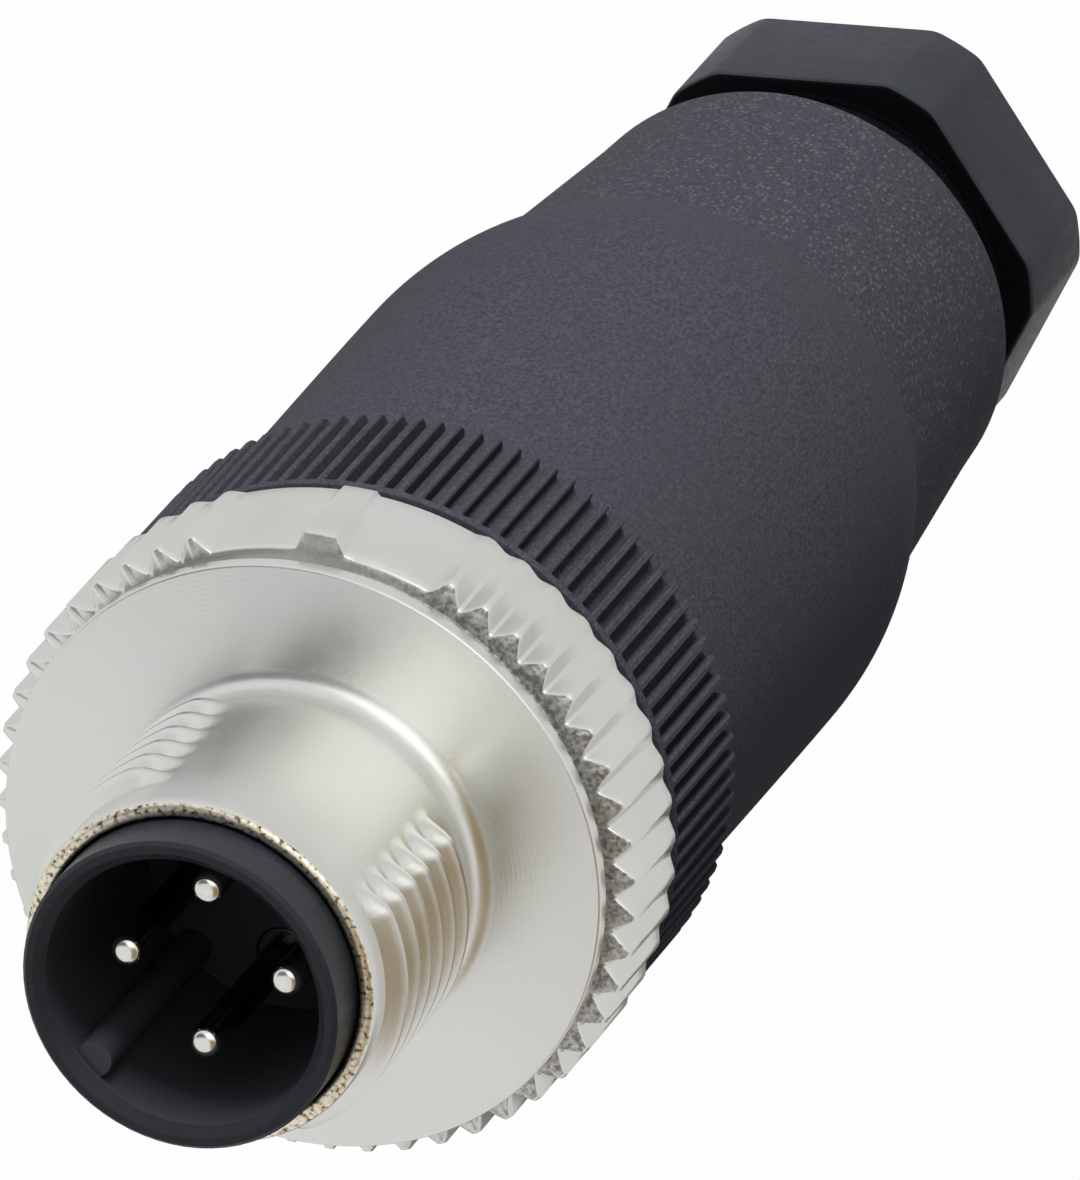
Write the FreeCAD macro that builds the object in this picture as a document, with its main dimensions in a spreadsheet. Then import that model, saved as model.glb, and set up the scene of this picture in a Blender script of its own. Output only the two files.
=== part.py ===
import FreeCAD, Part

import math
import os
import Sketcher
from FreeCAD import Placement, Rotation, Vector

# M12 cable connector with four pins, standing on the end of its gland nut.
# +Z runs along the plug's axis towards the pins, and the pins stand on the X and Y axes.
# Millimetres. The origin is the centre of the gland nut's end face.

# Driving dimensions
# Each one is a cell of the spreadsheet. Heights add up from the gland nut's end face.
SIZES = [
    # cable seal and clamping cage: the cable's hole sets the gland's radii from the inside out
    ("grommet_bore_radius", 2.9),
    ("grommet_wall", 0.95),
    ("grommet_clearance", 0.05),
    ("grommet_length", 5.2),
    ("grommet_bevel", 0.4),
    ("cable_hole_margin", 0.3),
    ("cage_wall", 0.62),
    ("cage_clearance", 0.08),
    ("cage_flange_thickness", 0.8),
    ("cage_flange_setback", 0.25),
    ("cage_lip_thickness", 1.0),
    ("cage_base_length", 2.2),
    ("cage_length", 6.7),
    ("cage_slot_width", 0.6),
    ("cage_finger_count", 8),
    # threaded neck of the grip
    ("neck_wall", 1.0),
    ("neck_engagement", 2.05),
    ("neck_thread_pitch", 1.0),
    ("neck_thread_depth", 0.4),
    ("neck_thread_width", 0.7),
    ("neck_thread_start", 0.5),
    ("neck_thread_turns", 3.5),
    ("thread_clearance", 0.05),
    ("seat_taper_length", 1.2),
    ("wire_passage_step", 0.6),
    ("seat_height_above_grip_end", 1.6),
    # gland nut
    ("nut_collar_length", 1.8),
    ("nut_hex_length", 4.55),
    ("nut_wall", 0.9),
    ("nut_corner_reach", 0.58),
    ("nut_collar_setback", 0.25),
    ("nut_collar_taper", 0.85),
    ("nut_end_wall", 1.3),
    ("nut_mouth_bevel", 0.45),
    ("nut_turn_angle", 5.7),
    ("nut_gap", 2.65),
    # contacts
    ("pin_circle_radius", 2.5),
    ("pin_radius", 0.5),
    ("pin_setback", 2.0),
    ("pin_tip_round", 0.3),
    ("pin_shank_step", 0.3),
    ("pin_fit", 0.03),
    ("barrel_radius", 1.3),
    ("barrel_length", 9.5),
    ("wire_hole_radius", 0.8),
    ("wire_hole_depth", 7.0),
    ("screw_height", 3.6),
    ("screw_radius", 0.8),
    ("screw_head_radius", 1.0),
    ("screw_head_gap", 0.7),
    ("screw_head_length", 1.1),
    ("screw_tip_offset", 0.2),
    ("screw_recess", 0.7),
    ("screw_slot_width", 0.35),
    ("screw_slot_depth", 0.4),
    ("screw_fit", 0.05),
    # contact carrier: its terminal block goes round the barrels and screws, and sets the radii of
    # flange, grip and knurl round it
    ("block_length", 9.0),
    ("union_step", 0.7),
    ("union_clearance", 0.05),
    ("union_length", 7.8),
    ("flange_step", 1.0),
    ("flange_thickness", 1.2),
    ("hub_step", 1.1),
    ("hub_clearance", 0.3),
    ("shroud_proud", 1.6),
    ("shroud_radius", 4.9),
    ("shroud_wall", 0.65),
    ("shroud_inner_bevel", 0.3),
    ("shroud_outer_bevel", 0.12),
    ("cavity_depth", 8.5),
    ("key_radius", 0.55),
    ("key_sink", 0.3),
    ("key_setback", 0.5),
    ("key_angle", 225),
    # round seal between carrier and grip
    ("seal_section_radius", 0.58),
    ("seal_groove_depth", 1.15),
    ("seal_groove_width", 1.5),
    ("seal_clearance", 0.01),
    # grip
    ("grip_end_shoulder", 1.7),
    ("grip_end_round", 0.45),
    ("grip_end_taper", 0.9),
    ("grip_kink_height", 11.0),
    ("grip_bulge_height", 5.5),
    ("grip_bulge_swell", 0.1),
    ("grip_waist_length", 14.7),
    ("grip_waist_step", 0.3),
    ("grip_wall", 1.9),
    ("chamber_cone_length", 7.0),
    ("passage_length", 3.5),
    ("band_length", 5.6),
    ("band_wall", 1.4),
    ("band_rim", 0.4),
    ("rib_height", 0.45),
    ("rib_count", 98),
    ("rib_width", 0.24),
    ("rib_end_bevel", 0.35),
    # coupling ring
    ("ring_gap", 0.3),
    ("knurl_length", 3.4),
    ("knurl_proud", 0.2),
    ("knurl_front_bevel", 0.15),
    ("tooth_height", 0.6),
    ("tooth_run_out_height", 0.14),
    ("tooth_count", 46),
    ("tooth_pitch_count", 52),
    ("tooth_base_width", 1.02),
    ("tooth_crest_width", 0.2),
    ("marker_angle", 90),
    ("marker_base_angle", 4.9),
    ("marker_crest_angle", 2.9),
    ("undercut_width", 0.6),
    ("undercut_depth", 0.37),
    ("disc_thickness", 0.5),
    ("disc_setback", 0.73),
    ("sleeve_length", 8.3),
    ("sleeve_clearance", 0.08),
    ("sleeve_wall", 0.47),
    ("sleeve_mouth_bevel", 0.25),
    ("sleeve_foot_round", 0.65),
    ("screw_thread_height", 0.5),
    ("screw_thread_pitch", 1.0),
    ("screw_thread_crests", 6),
    ("screw_thread_base_width", 0.9),
    ("screw_thread_crest_width", 0.2),
    ("screw_thread_front", 1.45),
    ("screw_thread_sector", 110.0),
    ("screw_thread_middle", 342.2),
    ("ring_floor", 1.0),
    ("ring_bore_clearance", 0.3),
    # retaining ring
    ("snap_height", 1.5),
    ("snap_thickness", 0.8),
    ("snap_depth", 0.5),
    ("snap_clearance", 0.1),
    ("snap_gap_angle", 40.0),
    # how far a rib, tooth or thread reaches into the wall that carries it
    ("root_sink", 0.08),
]


# One contact and one terminal screw for each of the plug's poles
PIN_COUNT = 4


class Size:
    """A dimension that carries its number together with its spreadsheet expression."""

    def __init__(self, value, text):
        self.value = float(value)
        self.text = text

    def __add__(self, other):
        other = as_size(other)
        return Size(self.value + other.value, "(%s + %s)" % (self.text, other.text))

    def __sub__(self, other):
        other = as_size(other)
        return Size(self.value - other.value, "(%s - %s)" % (self.text, other.text))

    def __mul__(self, other):
        other = as_size(other)
        return Size(self.value * other.value, "(%s * %s)" % (self.text, other.text))

    def __truediv__(self, other):
        other = as_size(other)
        return Size(self.value / other.value, "(%s / %s)" % (self.text, other.text))

    def __neg__(self):
        return Size(-self.value, "(0 - %s)" % self.text)

    def cos(self):
        return Size(math.cos(math.radians(self.value)), "cos(%s * 1 deg)" % self.text)

    def sin(self):
        return Size(math.sin(math.radians(self.value)), "sin(%s * 1 deg)" % self.text)


def as_size(number):
    if isinstance(number, Size):
        return number
    return Size(number, repr(float(number)))


ZERO = as_size(0)


def make_sheet(doc):
    """Write the driving dimensions into a spreadsheet and return them by name."""
    sheet = doc.addObject("Spreadsheet::Sheet", "Sizes")
    cells = {}
    for row, (alias, value) in enumerate(SIZES, start=1):
        sheet.set("A%d" % row, alias)
        sheet.set("B%d" % row, str(value))
        sheet.setAlias("B%d" % row, alias)
        cells[alias] = Size(value, "Sizes.%s" % alias)
    doc.recompute()
    return cells


def bind(obj, prop, size):
    """Tie one property of an object to the spreadsheet."""
    obj.setExpression(prop, as_size(size).text)


# Sketch helpers

def new_body(doc, name):
    body = doc.addObject("PartDesign::Body", name)
    body.Label = name
    return body


def origin_item(body, role):
    for item in body.Origin.OriginFeatures:
        if item.Role == role:
            return item
    raise ValueError("no " + role)


def new_sketch(body, name, plane, level=None, turn=None):
    """Sketch on an origin plane; level lifts it off that plane and turn swings it about +Z.

    On the XZ plane the sketch's own vertical is +Z, so a turn about +Z is a turn about it.
    """
    sketch = body.newObject("Sketcher::SketchObject", name)
    sketch.AttachmentSupport = [(origin_item(body, plane), "")]
    sketch.MapMode = "FlatFace"
    spin_axis = Vector(0, 0, 1) if plane == "XY_Plane" else Vector(0, 1, 0)
    angle = as_size(turn).value if turn is not None else 0.0
    height = as_size(level).value if level is not None else 0.0
    sketch.AttachmentOffset = Placement(Vector(0, 0, height), Rotation(spin_axis, angle))
    if level is not None:
        bind(sketch, "AttachmentOffset.Base.z", level)
    if turn is not None:
        bind(sketch, "AttachmentOffset.Rotation.Angle", turn)
    return sketch


def pin_point(sketch, geometry, point, x, y):
    """Hold one point of a sketch at x, y with constraints tied to the spreadsheet."""
    for kind, axis, size in (("DistanceX", -2, x), ("DistanceY", -1, y)):
        if abs(size.value) < 1e-9:
            sketch.addConstraint(Sketcher.Constraint("PointOnObject", geometry, point, axis))
            continue
        index = sketch.addConstraint(Sketcher.Constraint(kind, -1, 1, geometry, point, size.value))
        bind(sketch, "Constraints[%d]" % index, size)


def arc_between(start, end, level):
    """Arc from start to end whose centre lies at the given height, taken the short way round."""
    (x1, y1), (x2, y2) = start, end
    centre_x = (x1 ** 2 - x2 ** 2 + (level - y1) ** 2 - (level - y2) ** 2) / (2 * (x1 - x2))
    circle = Part.Circle(Vector(centre_x, level, 0), Vector(0, 0, 1), math.hypot(x1 - centre_x, y1 - level))
    first = math.atan2(y1 - level, x1 - centre_x)
    last = math.atan2(y2 - level, x2 - centre_x)
    sweep = (last - first + math.pi) % (2 * math.pi) - math.pi
    if sweep > 0:
        return Part.ArcOfCircle(circle, first, first + sweep), 1, 2
    return Part.ArcOfCircle(circle, first + sweep, first), 2, 1


def closed_outline(sketch, vertices, arcs=None):
    """Draw one closed outline. arcs gives, for a side's number, the height of its arc's centre."""
    arcs = arcs or {}
    ends = []
    count = len(vertices)
    for number, (x, y) in enumerate(vertices):
        next_x, next_y = vertices[(number + 1) % count]
        start = (x.value, y.value)
        end = (next_x.value, next_y.value)
        if number in arcs:
            curve, first, last = arc_between(start, end, arcs[number].value)
        else:
            curve, first, last = Part.LineSegment(Vector(*start, 0), Vector(*end, 0)), 1, 2
        ends.append((sketch.addGeometry(curve, False), first, last))
    for number in range(count):
        geometry, _, last = ends[number]
        next_geometry, next_first, _ = ends[(number + 1) % count]
        sketch.addConstraint(Sketcher.Constraint("Coincident", geometry, last, next_geometry, next_first))
    for number, (x, y) in enumerate(vertices):
        geometry, first, _ = ends[number]
        pin_point(sketch, geometry, first, x, y)
        if number in arcs:
            index = sketch.addConstraint(Sketcher.Constraint(
                "DistanceY", -1, 1, geometry, 3, arcs[number].value))
            bind(sketch, "Constraints[%d]" % index, arcs[number])


def circle_at(sketch, x, y, radius):
    geometry = sketch.addGeometry(
        Part.Circle(Vector(x.value, y.value, 0), Vector(0, 0, 1), radius.value), False)
    pin_point(sketch, geometry, 3, x, y)
    index = sketch.addConstraint(Sketcher.Constraint("Radius", geometry, radius.value))
    bind(sketch, "Constraints[%d]" % index, radius)


# Feature helpers

def revolve(body, name, sketch, kind="PartDesign::Revolution", angle=None):
    feature = body.newObject(kind, name)
    feature.Profile = sketch
    feature.ReferenceAxis = (sketch, ["V_Axis"])
    feature.Angle = 360.0
    if angle is not None:
        feature.Midplane = True
        feature.Angle = angle.value
        bind(feature, "Angle", angle)
    body.Tip = feature
    return feature


def extrude(body, name, sketch, length, kind="PartDesign::Pad", backwards=False, centred=False):
    feature = body.newObject(kind, name)
    feature.Profile = sketch
    feature.Length = length.value
    bind(feature, "Length", length)
    feature.Reversed = backwards
    feature.Midplane = centred
    body.Tip = feature
    return feature


def loft(body, name, sketches):
    """Straight-sided solid from the first sketch through the others."""
    feature = body.newObject("PartDesign::AdditiveLoft", name)
    feature.Profile = sketches[0]
    feature.Sections = sketches[1:]
    feature.Ruled = True
    body.Tip = feature
    return feature


def repeat_round(body, name, feature, count, span=None):
    """Copies of a feature round the axis, over the whole turn or over a span in degrees."""
    pattern = body.newObject("PartDesign::PolarPattern", name)
    pattern.Originals = [feature]
    pattern.Axis = (origin_item(body, "Z_Axis"), [""])
    pattern.Occurrences = int(round(as_size(count).value))
    bind(pattern, "Occurrences", count)
    if span is not None:
        pattern.Angle = span.value
        bind(pattern, "Angle", span)
    body.Tip = pattern
    return pattern


def trapezoid(sketch, near, far, near_width, far_width):
    """Trapezoid astride the sketch's first axis, from the near distance to the far one."""
    closed_outline(sketch, [
        (near, -near_width / 2),
        (far, -far_width / 2),
        (far, far_width / 2),
        (near, near_width / 2),
    ])


def repeat_along(body, name, feature, count, span):
    """Copies of a feature along the axis, evenly spaced over a span."""
    pattern = body.newObject("PartDesign::LinearPattern", name)
    pattern.Originals = [feature]
    pattern.Direction = (origin_item(body, "Z_Axis"), [""])
    pattern.Length = span.value
    bind(pattern, "Length", span)
    pattern.Occurrences = int(round(count.value))
    bind(pattern, "Occurrences", count)
    body.Tip = pattern
    return pattern


def helix(body, name, sketch, pitch, turns, kind="PartDesign::AdditiveHelix"):
    """Right-handed screw sweep of a sketch about the plug's axis, from its foot upwards."""
    feature = body.newObject(kind, name)
    feature.Profile = sketch
    feature.ReferenceAxis = (sketch, ["V_Axis"])
    feature.Mode = "pitch-turns-angle"
    feature.Pitch = pitch.value
    bind(feature, "Pitch", pitch)
    feature.Turns = turns.value
    bind(feature, "Turns", turns)
    body.Tip = feature
    return feature


# Radii and heights that several pieces share

class Radii:
    """Radii that follow from one another, from the cable and the terminal block outwards."""

    def __init__(self, d):
        self.cable_hole = d["grommet_bore_radius"] + d["cable_hole_margin"]
        self.grommet = d["grommet_bore_radius"] + d["grommet_wall"]
        self.cage_bore = self.grommet + d["grommet_clearance"]
        self.cage = self.cage_bore + d["cage_wall"]
        self.neck_bore = self.cage + d["cage_clearance"]
        self.neck = self.neck_bore + d["neck_wall"]
        self.nut_bore = self.neck + d["thread_clearance"]
        self.nut_flat = self.nut_bore + d["nut_wall"]
        self.grip_end = self.neck + d["grip_end_shoulder"]
        self.grip_kink = self.grip_end + d["grip_end_taper"]
        self.screw_head = d["pin_circle_radius"] + d["barrel_radius"] + d["screw_head_gap"]
        self.screw_end = self.screw_head + d["screw_head_length"]
        self.block = self.screw_end + d["screw_recess"]
        self.union = self.block + d["union_step"]
        self.union_bore = self.union + d["union_clearance"]
        self.flange = self.union + d["flange_step"]
        self.flange_bore = self.flange + d["union_clearance"]
        self.hub = self.flange - d["hub_step"]
        self.hub_bore = self.hub + d["hub_clearance"]
        self.seal_seat = self.union - d["seal_groove_depth"]
        self.band_floor = self.flange_bore + d["band_wall"]
        self.band = self.band_floor + d["rib_height"]
        self.grip_waist = self.band_floor - d["grip_waist_step"]
        self.grip_bulge = self.grip_waist + d["grip_bulge_swell"]
        self.knurl = self.band + d["knurl_proud"]
        self.knurl_root = self.knurl - d["tooth_height"]
        self.knurl_rear_root = self.knurl - d["tooth_run_out_height"]
        self.disc = self.knurl - d["disc_setback"]
        self.undercut = self.disc - d["undercut_depth"]
        self.shroud_bore = d["shroud_radius"] - d["shroud_wall"]
        self.sleeve_bore = d["shroud_radius"] + d["sleeve_clearance"]
        self.sleeve = self.sleeve_bore + d["sleeve_wall"]
        self.pin_shank = d["pin_radius"] + d["pin_shank_step"]
        self.pin_hole = self.pin_shank + d["pin_fit"]


class Levels:
    """Heights above the gland nut's end face, added up from the driving lengths."""

    def __init__(self, d):
        self.hex_bottom = d["nut_collar_length"]
        self.nut_front = self.hex_bottom + d["nut_hex_length"]
        self.neck_end = self.nut_front - d["neck_engagement"]
        self.grip_end = self.nut_front + d["nut_gap"]
        self.kink = self.grip_end + d["grip_kink_height"]
        self.bulge = self.kink + d["grip_bulge_height"]
        self.band_rear = self.bulge + d["grip_waist_length"]
        self.grip_front = self.band_rear + d["band_length"]
        self.flange_rear = self.grip_front - d["flange_thickness"]
        self.union_end = self.grip_front - d["union_length"]
        self.block_end = self.union_end - d["block_length"]
        self.ring_rear = self.grip_front + d["ring_gap"]
        self.ring_front = self.ring_rear + d["knurl_length"]
        self.disc_rear = self.ring_front + d["undercut_width"]
        self.disc_front = self.disc_rear + d["disc_thickness"]
        self.sleeve_front = self.disc_front + d["sleeve_length"]
        self.shroud_front = self.sleeve_front + d["shroud_proud"]
        self.ring_ceiling = self.disc_front - d["ring_floor"]
        self.hub_top = self.ring_ceiling - d["ring_bore_clearance"]
        self.snap_bottom = self.ring_rear + d["snap_height"] - d["snap_thickness"] / 2
        self.snap_top = self.snap_bottom + d["snap_thickness"]
        self.cavity_floor = self.shroud_front - d["cavity_depth"]
        self.pin_tip = self.shroud_front - d["pin_setback"]
        self.barrel_end = self.block_end + d["pin_radius"]
        self.barrel_top = self.barrel_end + d["barrel_length"]
        self.screw = self.barrel_end + d["screw_height"]
        self.cage_end = d["nut_end_wall"]
        self.seal_groove_bottom = self.flange_rear - d["seal_groove_width"]


# Grip

def make_grip(doc, d, r, z):
    """Moulded grip: threaded neck, bulging body and a band of raised axial ribs."""
    body = new_body(doc, "grip_body")
    sketch = new_sketch(body, "grip_section", "XZ_Plane")
    chamber = r.grip_waist - d["grip_wall"]
    passage = r.neck_bore - d["wire_passage_step"]
    seat_bottom = z.grip_end + d["seat_height_above_grip_end"]
    seat_top = seat_bottom + d["seat_taper_length"]
    passage_top = seat_top + d["passage_length"]
    chamber_bottom = passage_top + d["chamber_cone_length"]
    rim_rear = z.grip_front - d["band_rim"]
    outer = [
        (r.neck_bore, z.neck_end),
        (r.neck, z.neck_end),
        (r.neck, z.grip_end),
        (r.grip_end - d["grip_end_round"], z.grip_end),
        (r.grip_end, z.grip_end + d["grip_end_round"]),
        (r.grip_kink, z.kink),
        (r.grip_bulge, z.bulge),
        (r.grip_waist, z.band_rear),
        (r.band_floor, z.band_rear),
        (r.band_floor, rim_rear),
        (r.band, rim_rear),
        (r.band, z.grip_front),
    ]
    inner = [
        (r.flange_bore, z.grip_front),
        (r.flange_bore, z.flange_rear),
        (r.union_bore, z.flange_rear),
        (r.union_bore, z.union_end),
        (chamber, z.union_end - (chamber - r.union_bore)),
        (chamber, chamber_bottom),
        (passage, passage_top),
        (passage, seat_top),
        (r.neck_bore, seat_bottom),
    ]
    closed_outline(sketch, outer + inner, {3: z.grip_end + d["grip_end_round"], 5: z.bulge})
    revolve(body, "grip_shell", sketch)
    add_neck_thread(doc, body, d, r, z)

    rib_sketch = new_sketch(body, "rib_section", "XZ_Plane")
    foot = r.band_floor - d["root_sink"]
    closed_outline(rib_sketch, [
        (foot, z.band_rear),
        (r.band_floor, z.band_rear),
        (r.band, z.band_rear + d["rib_end_bevel"]),
        (r.band, rim_rear + d["root_sink"]),
        (foot, rim_rear + d["root_sink"]),
    ])
    rib = extrude(body, "rib", rib_sketch, d["rib_width"], centred=True)
    doc.recompute()
    repeat_round(body, "ribs", rib, d["rib_count"])
    return body


def add_neck_thread(doc, body, d, r, z):
    """Right-handed thread groove on the neck, which the gland nut screws along."""
    level = z.neck_end + d["neck_thread_start"]
    half = d["neck_thread_width"] / 2
    sketch = new_sketch(body, "neck_thread_section", "XZ_Plane")
    closed_outline(sketch, [
        (r.neck - d["neck_thread_depth"], level),
        (r.neck + d["thread_clearance"], level - half),
        (r.neck + d["thread_clearance"], level + half),
    ])
    helix(body, "neck_thread", sketch, d["neck_thread_pitch"], d["neck_thread_turns"],
          "PartDesign::SubtractiveHelix")
    doc.recompute()


# Coupling ring

def make_coupling_ring(doc, d, r, z):
    """Metal ring that turns on the carrier: threaded sleeve, flange disc and knurled rim."""
    body = new_body(doc, "coupling_ring")
    sketch = new_sketch(body, "ring_section", "XZ_Plane")
    snap_bore = r.hub_bore + d["snap_depth"]
    snap_roof = z.snap_top + d["snap_clearance"]
    snap_floor = z.snap_bottom - d["snap_clearance"]
    foot = d["sleeve_foot_round"]
    vertices = [
        (r.sleeve_bore, z.sleeve_front),
        (r.sleeve_bore, z.ring_ceiling),
        (r.hub_bore, z.ring_ceiling),
        (r.hub_bore, snap_roof),
        (snap_bore, snap_roof),
        (snap_bore, snap_floor),
        (r.hub_bore, snap_floor),
        (r.hub_bore, z.ring_rear),
        (r.knurl_rear_root, z.ring_rear),
        (r.knurl_root, z.ring_front),
        (r.undercut, z.ring_front),
        (r.undercut, z.disc_rear),
        (r.disc, z.disc_rear),
        (r.disc, z.disc_front),
        (r.sleeve + foot, z.disc_front),
        (r.sleeve, z.disc_front + foot),
        (r.sleeve, z.sleeve_front - d["sleeve_mouth_bevel"]),
        (r.sleeve - d["sleeve_mouth_bevel"], z.sleeve_front),
    ]
    closed_outline(sketch, vertices, {14: z.disc_front + foot})
    revolve(body, "ring_blank", sketch)
    add_knurl(doc, body, d, r, z)
    add_thread_sectors(doc, body, d, r, z)
    return body


def add_knurl(doc, body, d, r, z):
    """Teeth all round but for one wide marker tooth with a plain stretch on each side.

    The spaces between the teeth are deepest at the front and run out towards the rear.
    """
    pitch = as_size(360) / d["tooth_pitch_count"]
    plain = (d["tooth_pitch_count"] - d["tooth_count"] + 1) / 2
    foot = r.knurl_root - d["root_sink"]
    rear_foot = r.knurl_rear_root - d["root_sink"]
    sections = []
    for name, level, root in (("tooth_rear_section", z.ring_rear, rear_foot),
                              ("tooth_front_section", z.ring_front, foot)):
        section = new_sketch(body, name, "XY_Plane", level=level, turn=d["marker_angle"] + pitch * plain)
        trapezoid(section, root, r.knurl, d["tooth_base_width"], d["tooth_crest_width"])
        sections.append(section)
    tooth = loft(body, "tooth", sections)
    doc.recompute()
    repeat_round(body, "teeth", tooth, d["tooth_count"], pitch * (d["tooth_count"] - 1))

    marker_sketch = new_sketch(body, "marker_section", "XY_Plane", level=z.ring_rear,
                               turn=d["marker_angle"])
    trapezoid(marker_sketch, foot, r.knurl,
              r.knurl_root * d["marker_base_angle"].sin() * 2,
              r.knurl * d["marker_crest_angle"].sin() * 2)
    extrude(body, "marker_tooth", marker_sketch, d["knurl_length"])

    bevel = d["knurl_front_bevel"]
    bevel_sketch = new_sketch(body, "knurl_bevel_section", "XZ_Plane")
    closed_outline(bevel_sketch, [
        (r.knurl - bevel, z.ring_front + bevel),
        (r.knurl - bevel, z.ring_front),
        (r.knurl, z.ring_front - bevel),
        (r.knurl + bevel, z.ring_front - bevel),
        (r.knurl + bevel, z.ring_front + bevel),
    ])
    revolve(body, "knurl_bevel", bevel_sketch, kind="PartDesign::Groove")


def add_thread_sectors(doc, body, d, r, z):
    """Right-handed thread on two opposite sectors of the sleeve, half a pitch apart in height."""
    pitch = d["screw_thread_pitch"]
    half_base = d["screw_thread_base_width"] / 2
    half_crest = d["screw_thread_crest_width"] / 2
    foot = r.sleeve - d["root_sink"]
    crest = r.sleeve + d["screw_thread_height"]
    turns = d["screw_thread_sector"] / 360
    last = d["screw_thread_crests"] - 1
    for number in (0, 1):
        name = "thread_sector_%d" % (number + 1)
        turn = d["screw_thread_middle"] - d["screw_thread_sector"] / 2 - 180 * number
        level = z.sleeve_front - d["screw_thread_front"] - pitch * last - pitch * (turns + number) / 2
        sketch = new_sketch(body, name + "_section", "XZ_Plane", turn=turn)
        closed_outline(sketch, [
            (foot, level - half_base),
            (crest, level - half_crest),
            (crest, level + half_crest),
            (foot, level + half_base),
        ])
        ridge = helix(body, name + "_ridge", sketch, pitch, turns)
        doc.recompute()
        repeat_along(body, name, ridge, d["screw_thread_crests"], pitch * last)


# Contact carrier

def make_carrier(doc, d, r, z):
    """Moulded contact carrier: shroud with key, hub, sealing seat, thread and terminal block."""
    body = new_body(doc, "contact_carrier")
    sketch = new_sketch(body, "carrier_section", "XZ_Plane")
    inner_bevel = d["shroud_inner_bevel"]
    outer_bevel = d["shroud_outer_bevel"]
    snap_floor = r.hub - d["snap_depth"]
    vertices = [
        (ZERO, z.cavity_floor),
        (r.shroud_bore, z.cavity_floor),
        (r.shroud_bore, z.shroud_front - inner_bevel),
        (r.shroud_bore + inner_bevel, z.shroud_front),
        (d["shroud_radius"] - outer_bevel, z.shroud_front),
        (d["shroud_radius"], z.shroud_front - outer_bevel),
        (d["shroud_radius"], z.hub_top),
        (r.hub, z.hub_top),
        (r.hub, z.snap_top),
        (snap_floor, z.snap_top),
        (snap_floor, z.snap_bottom),
        (r.hub, z.snap_bottom),
        (r.hub, z.grip_front),
        (r.flange, z.grip_front),
        (r.flange, z.flange_rear),
        (r.seal_seat, z.flange_rear),
        (r.seal_seat, z.seal_groove_bottom),
        (r.union, z.seal_groove_bottom),
        (r.union, z.union_end),
        (r.block, z.union_end),
        (r.block, z.block_end),
        (ZERO, z.block_end),
    ]
    closed_outline(sketch, vertices)
    revolve(body, "carrier_blank", sketch)
    add_key(body, d, r, z)

    hole_sketch = new_sketch(body, "pin_hole_section", "XY_Plane", level=z.cavity_floor)
    circle_at(hole_sketch, d["pin_circle_radius"], ZERO, r.pin_hole)
    hole = extrude(body, "pin_hole", hole_sketch, z.cavity_floor - z.barrel_top, "PartDesign::Pocket")
    doc.recompute()
    repeat_round(body, "pin_holes", hole, as_size(PIN_COUNT))

    well_sketch = new_sketch(body, "barrel_well_section", "XY_Plane", level=z.barrel_top)
    circle_at(well_sketch, d["pin_circle_radius"], ZERO, d["barrel_radius"] + d["pin_fit"])
    well = extrude(body, "barrel_well", well_sketch, z.barrel_top - z.block_end, "PartDesign::Pocket")
    doc.recompute()
    repeat_round(body, "barrel_wells", well, as_size(PIN_COUNT))

    access_sketch = new_sketch(body, "screw_access_section", "YZ_Plane", level=d["pin_circle_radius"])
    circle_at(access_sketch, ZERO, z.screw, d["screw_head_radius"] + d["screw_fit"])
    access = extrude(body, "screw_access", access_sketch, r.block, "PartDesign::Pocket", backwards=True)
    doc.recompute()
    repeat_round(body, "screw_accesses", access, as_size(PIN_COUNT))
    return body


def add_key(body, d, r, z):
    """Round-nosed polarising key along the shroud's inner wall."""
    centre = r.shroud_bore - d["key_sink"]
    wall_middle = r.shroud_bore + d["shroud_wall"] / 2
    length = d["cavity_depth"] - d["key_setback"]
    nose = new_sketch(body, "key_nose_section", "XY_Plane", level=z.cavity_floor, turn=d["key_angle"])
    circle_at(nose, centre, ZERO, d["key_radius"])
    extrude(body, "key_nose", nose, length)
    root = new_sketch(body, "key_root_section", "XY_Plane", level=z.cavity_floor, turn=d["key_angle"])
    trapezoid(root, centre, wall_middle, d["key_radius"] * 2, d["key_radius"] * 2)
    extrude(body, "key_root", root, length)


def make_pin(doc, d, r, z, number):
    """Turned contact: round-nosed pin in front, shank in the carrier, wire barrel behind."""
    name = "contact_pin_%d" % number
    body = new_body(doc, name)
    sketch = new_sketch(body, name + "_section", "XZ_Plane")
    tip = d["pin_tip_round"]
    vertices = [
        (ZERO, z.barrel_end + d["wire_hole_depth"]),
        (d["wire_hole_radius"], z.barrel_end + d["wire_hole_depth"]),
        (d["wire_hole_radius"], z.barrel_end),
        (d["barrel_radius"], z.barrel_end),
        (d["barrel_radius"], z.barrel_top),
        (r.pin_shank, z.barrel_top),
        (r.pin_shank, z.cavity_floor),
        (d["pin_radius"], z.cavity_floor),
        (d["pin_radius"], z.pin_tip - tip),
        (d["pin_radius"] - tip, z.pin_tip),
        (ZERO, z.pin_tip),
    ]
    closed_outline(sketch, vertices, {8: z.pin_tip - tip})
    revolve(body, name + "_turned", sketch)
    side_sketch = new_sketch(body, name + "_side_section", "YZ_Plane")
    circle_at(side_sketch, ZERO, z.screw, d["screw_radius"] + d["screw_fit"])
    extrude(body, name + "_side_hole", side_sketch, d["barrel_radius"] * 2, "PartDesign::Pocket",
            backwards=True)
    place_round(body, number, d["pin_circle_radius"], ZERO, Rotation())
    return body


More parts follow.
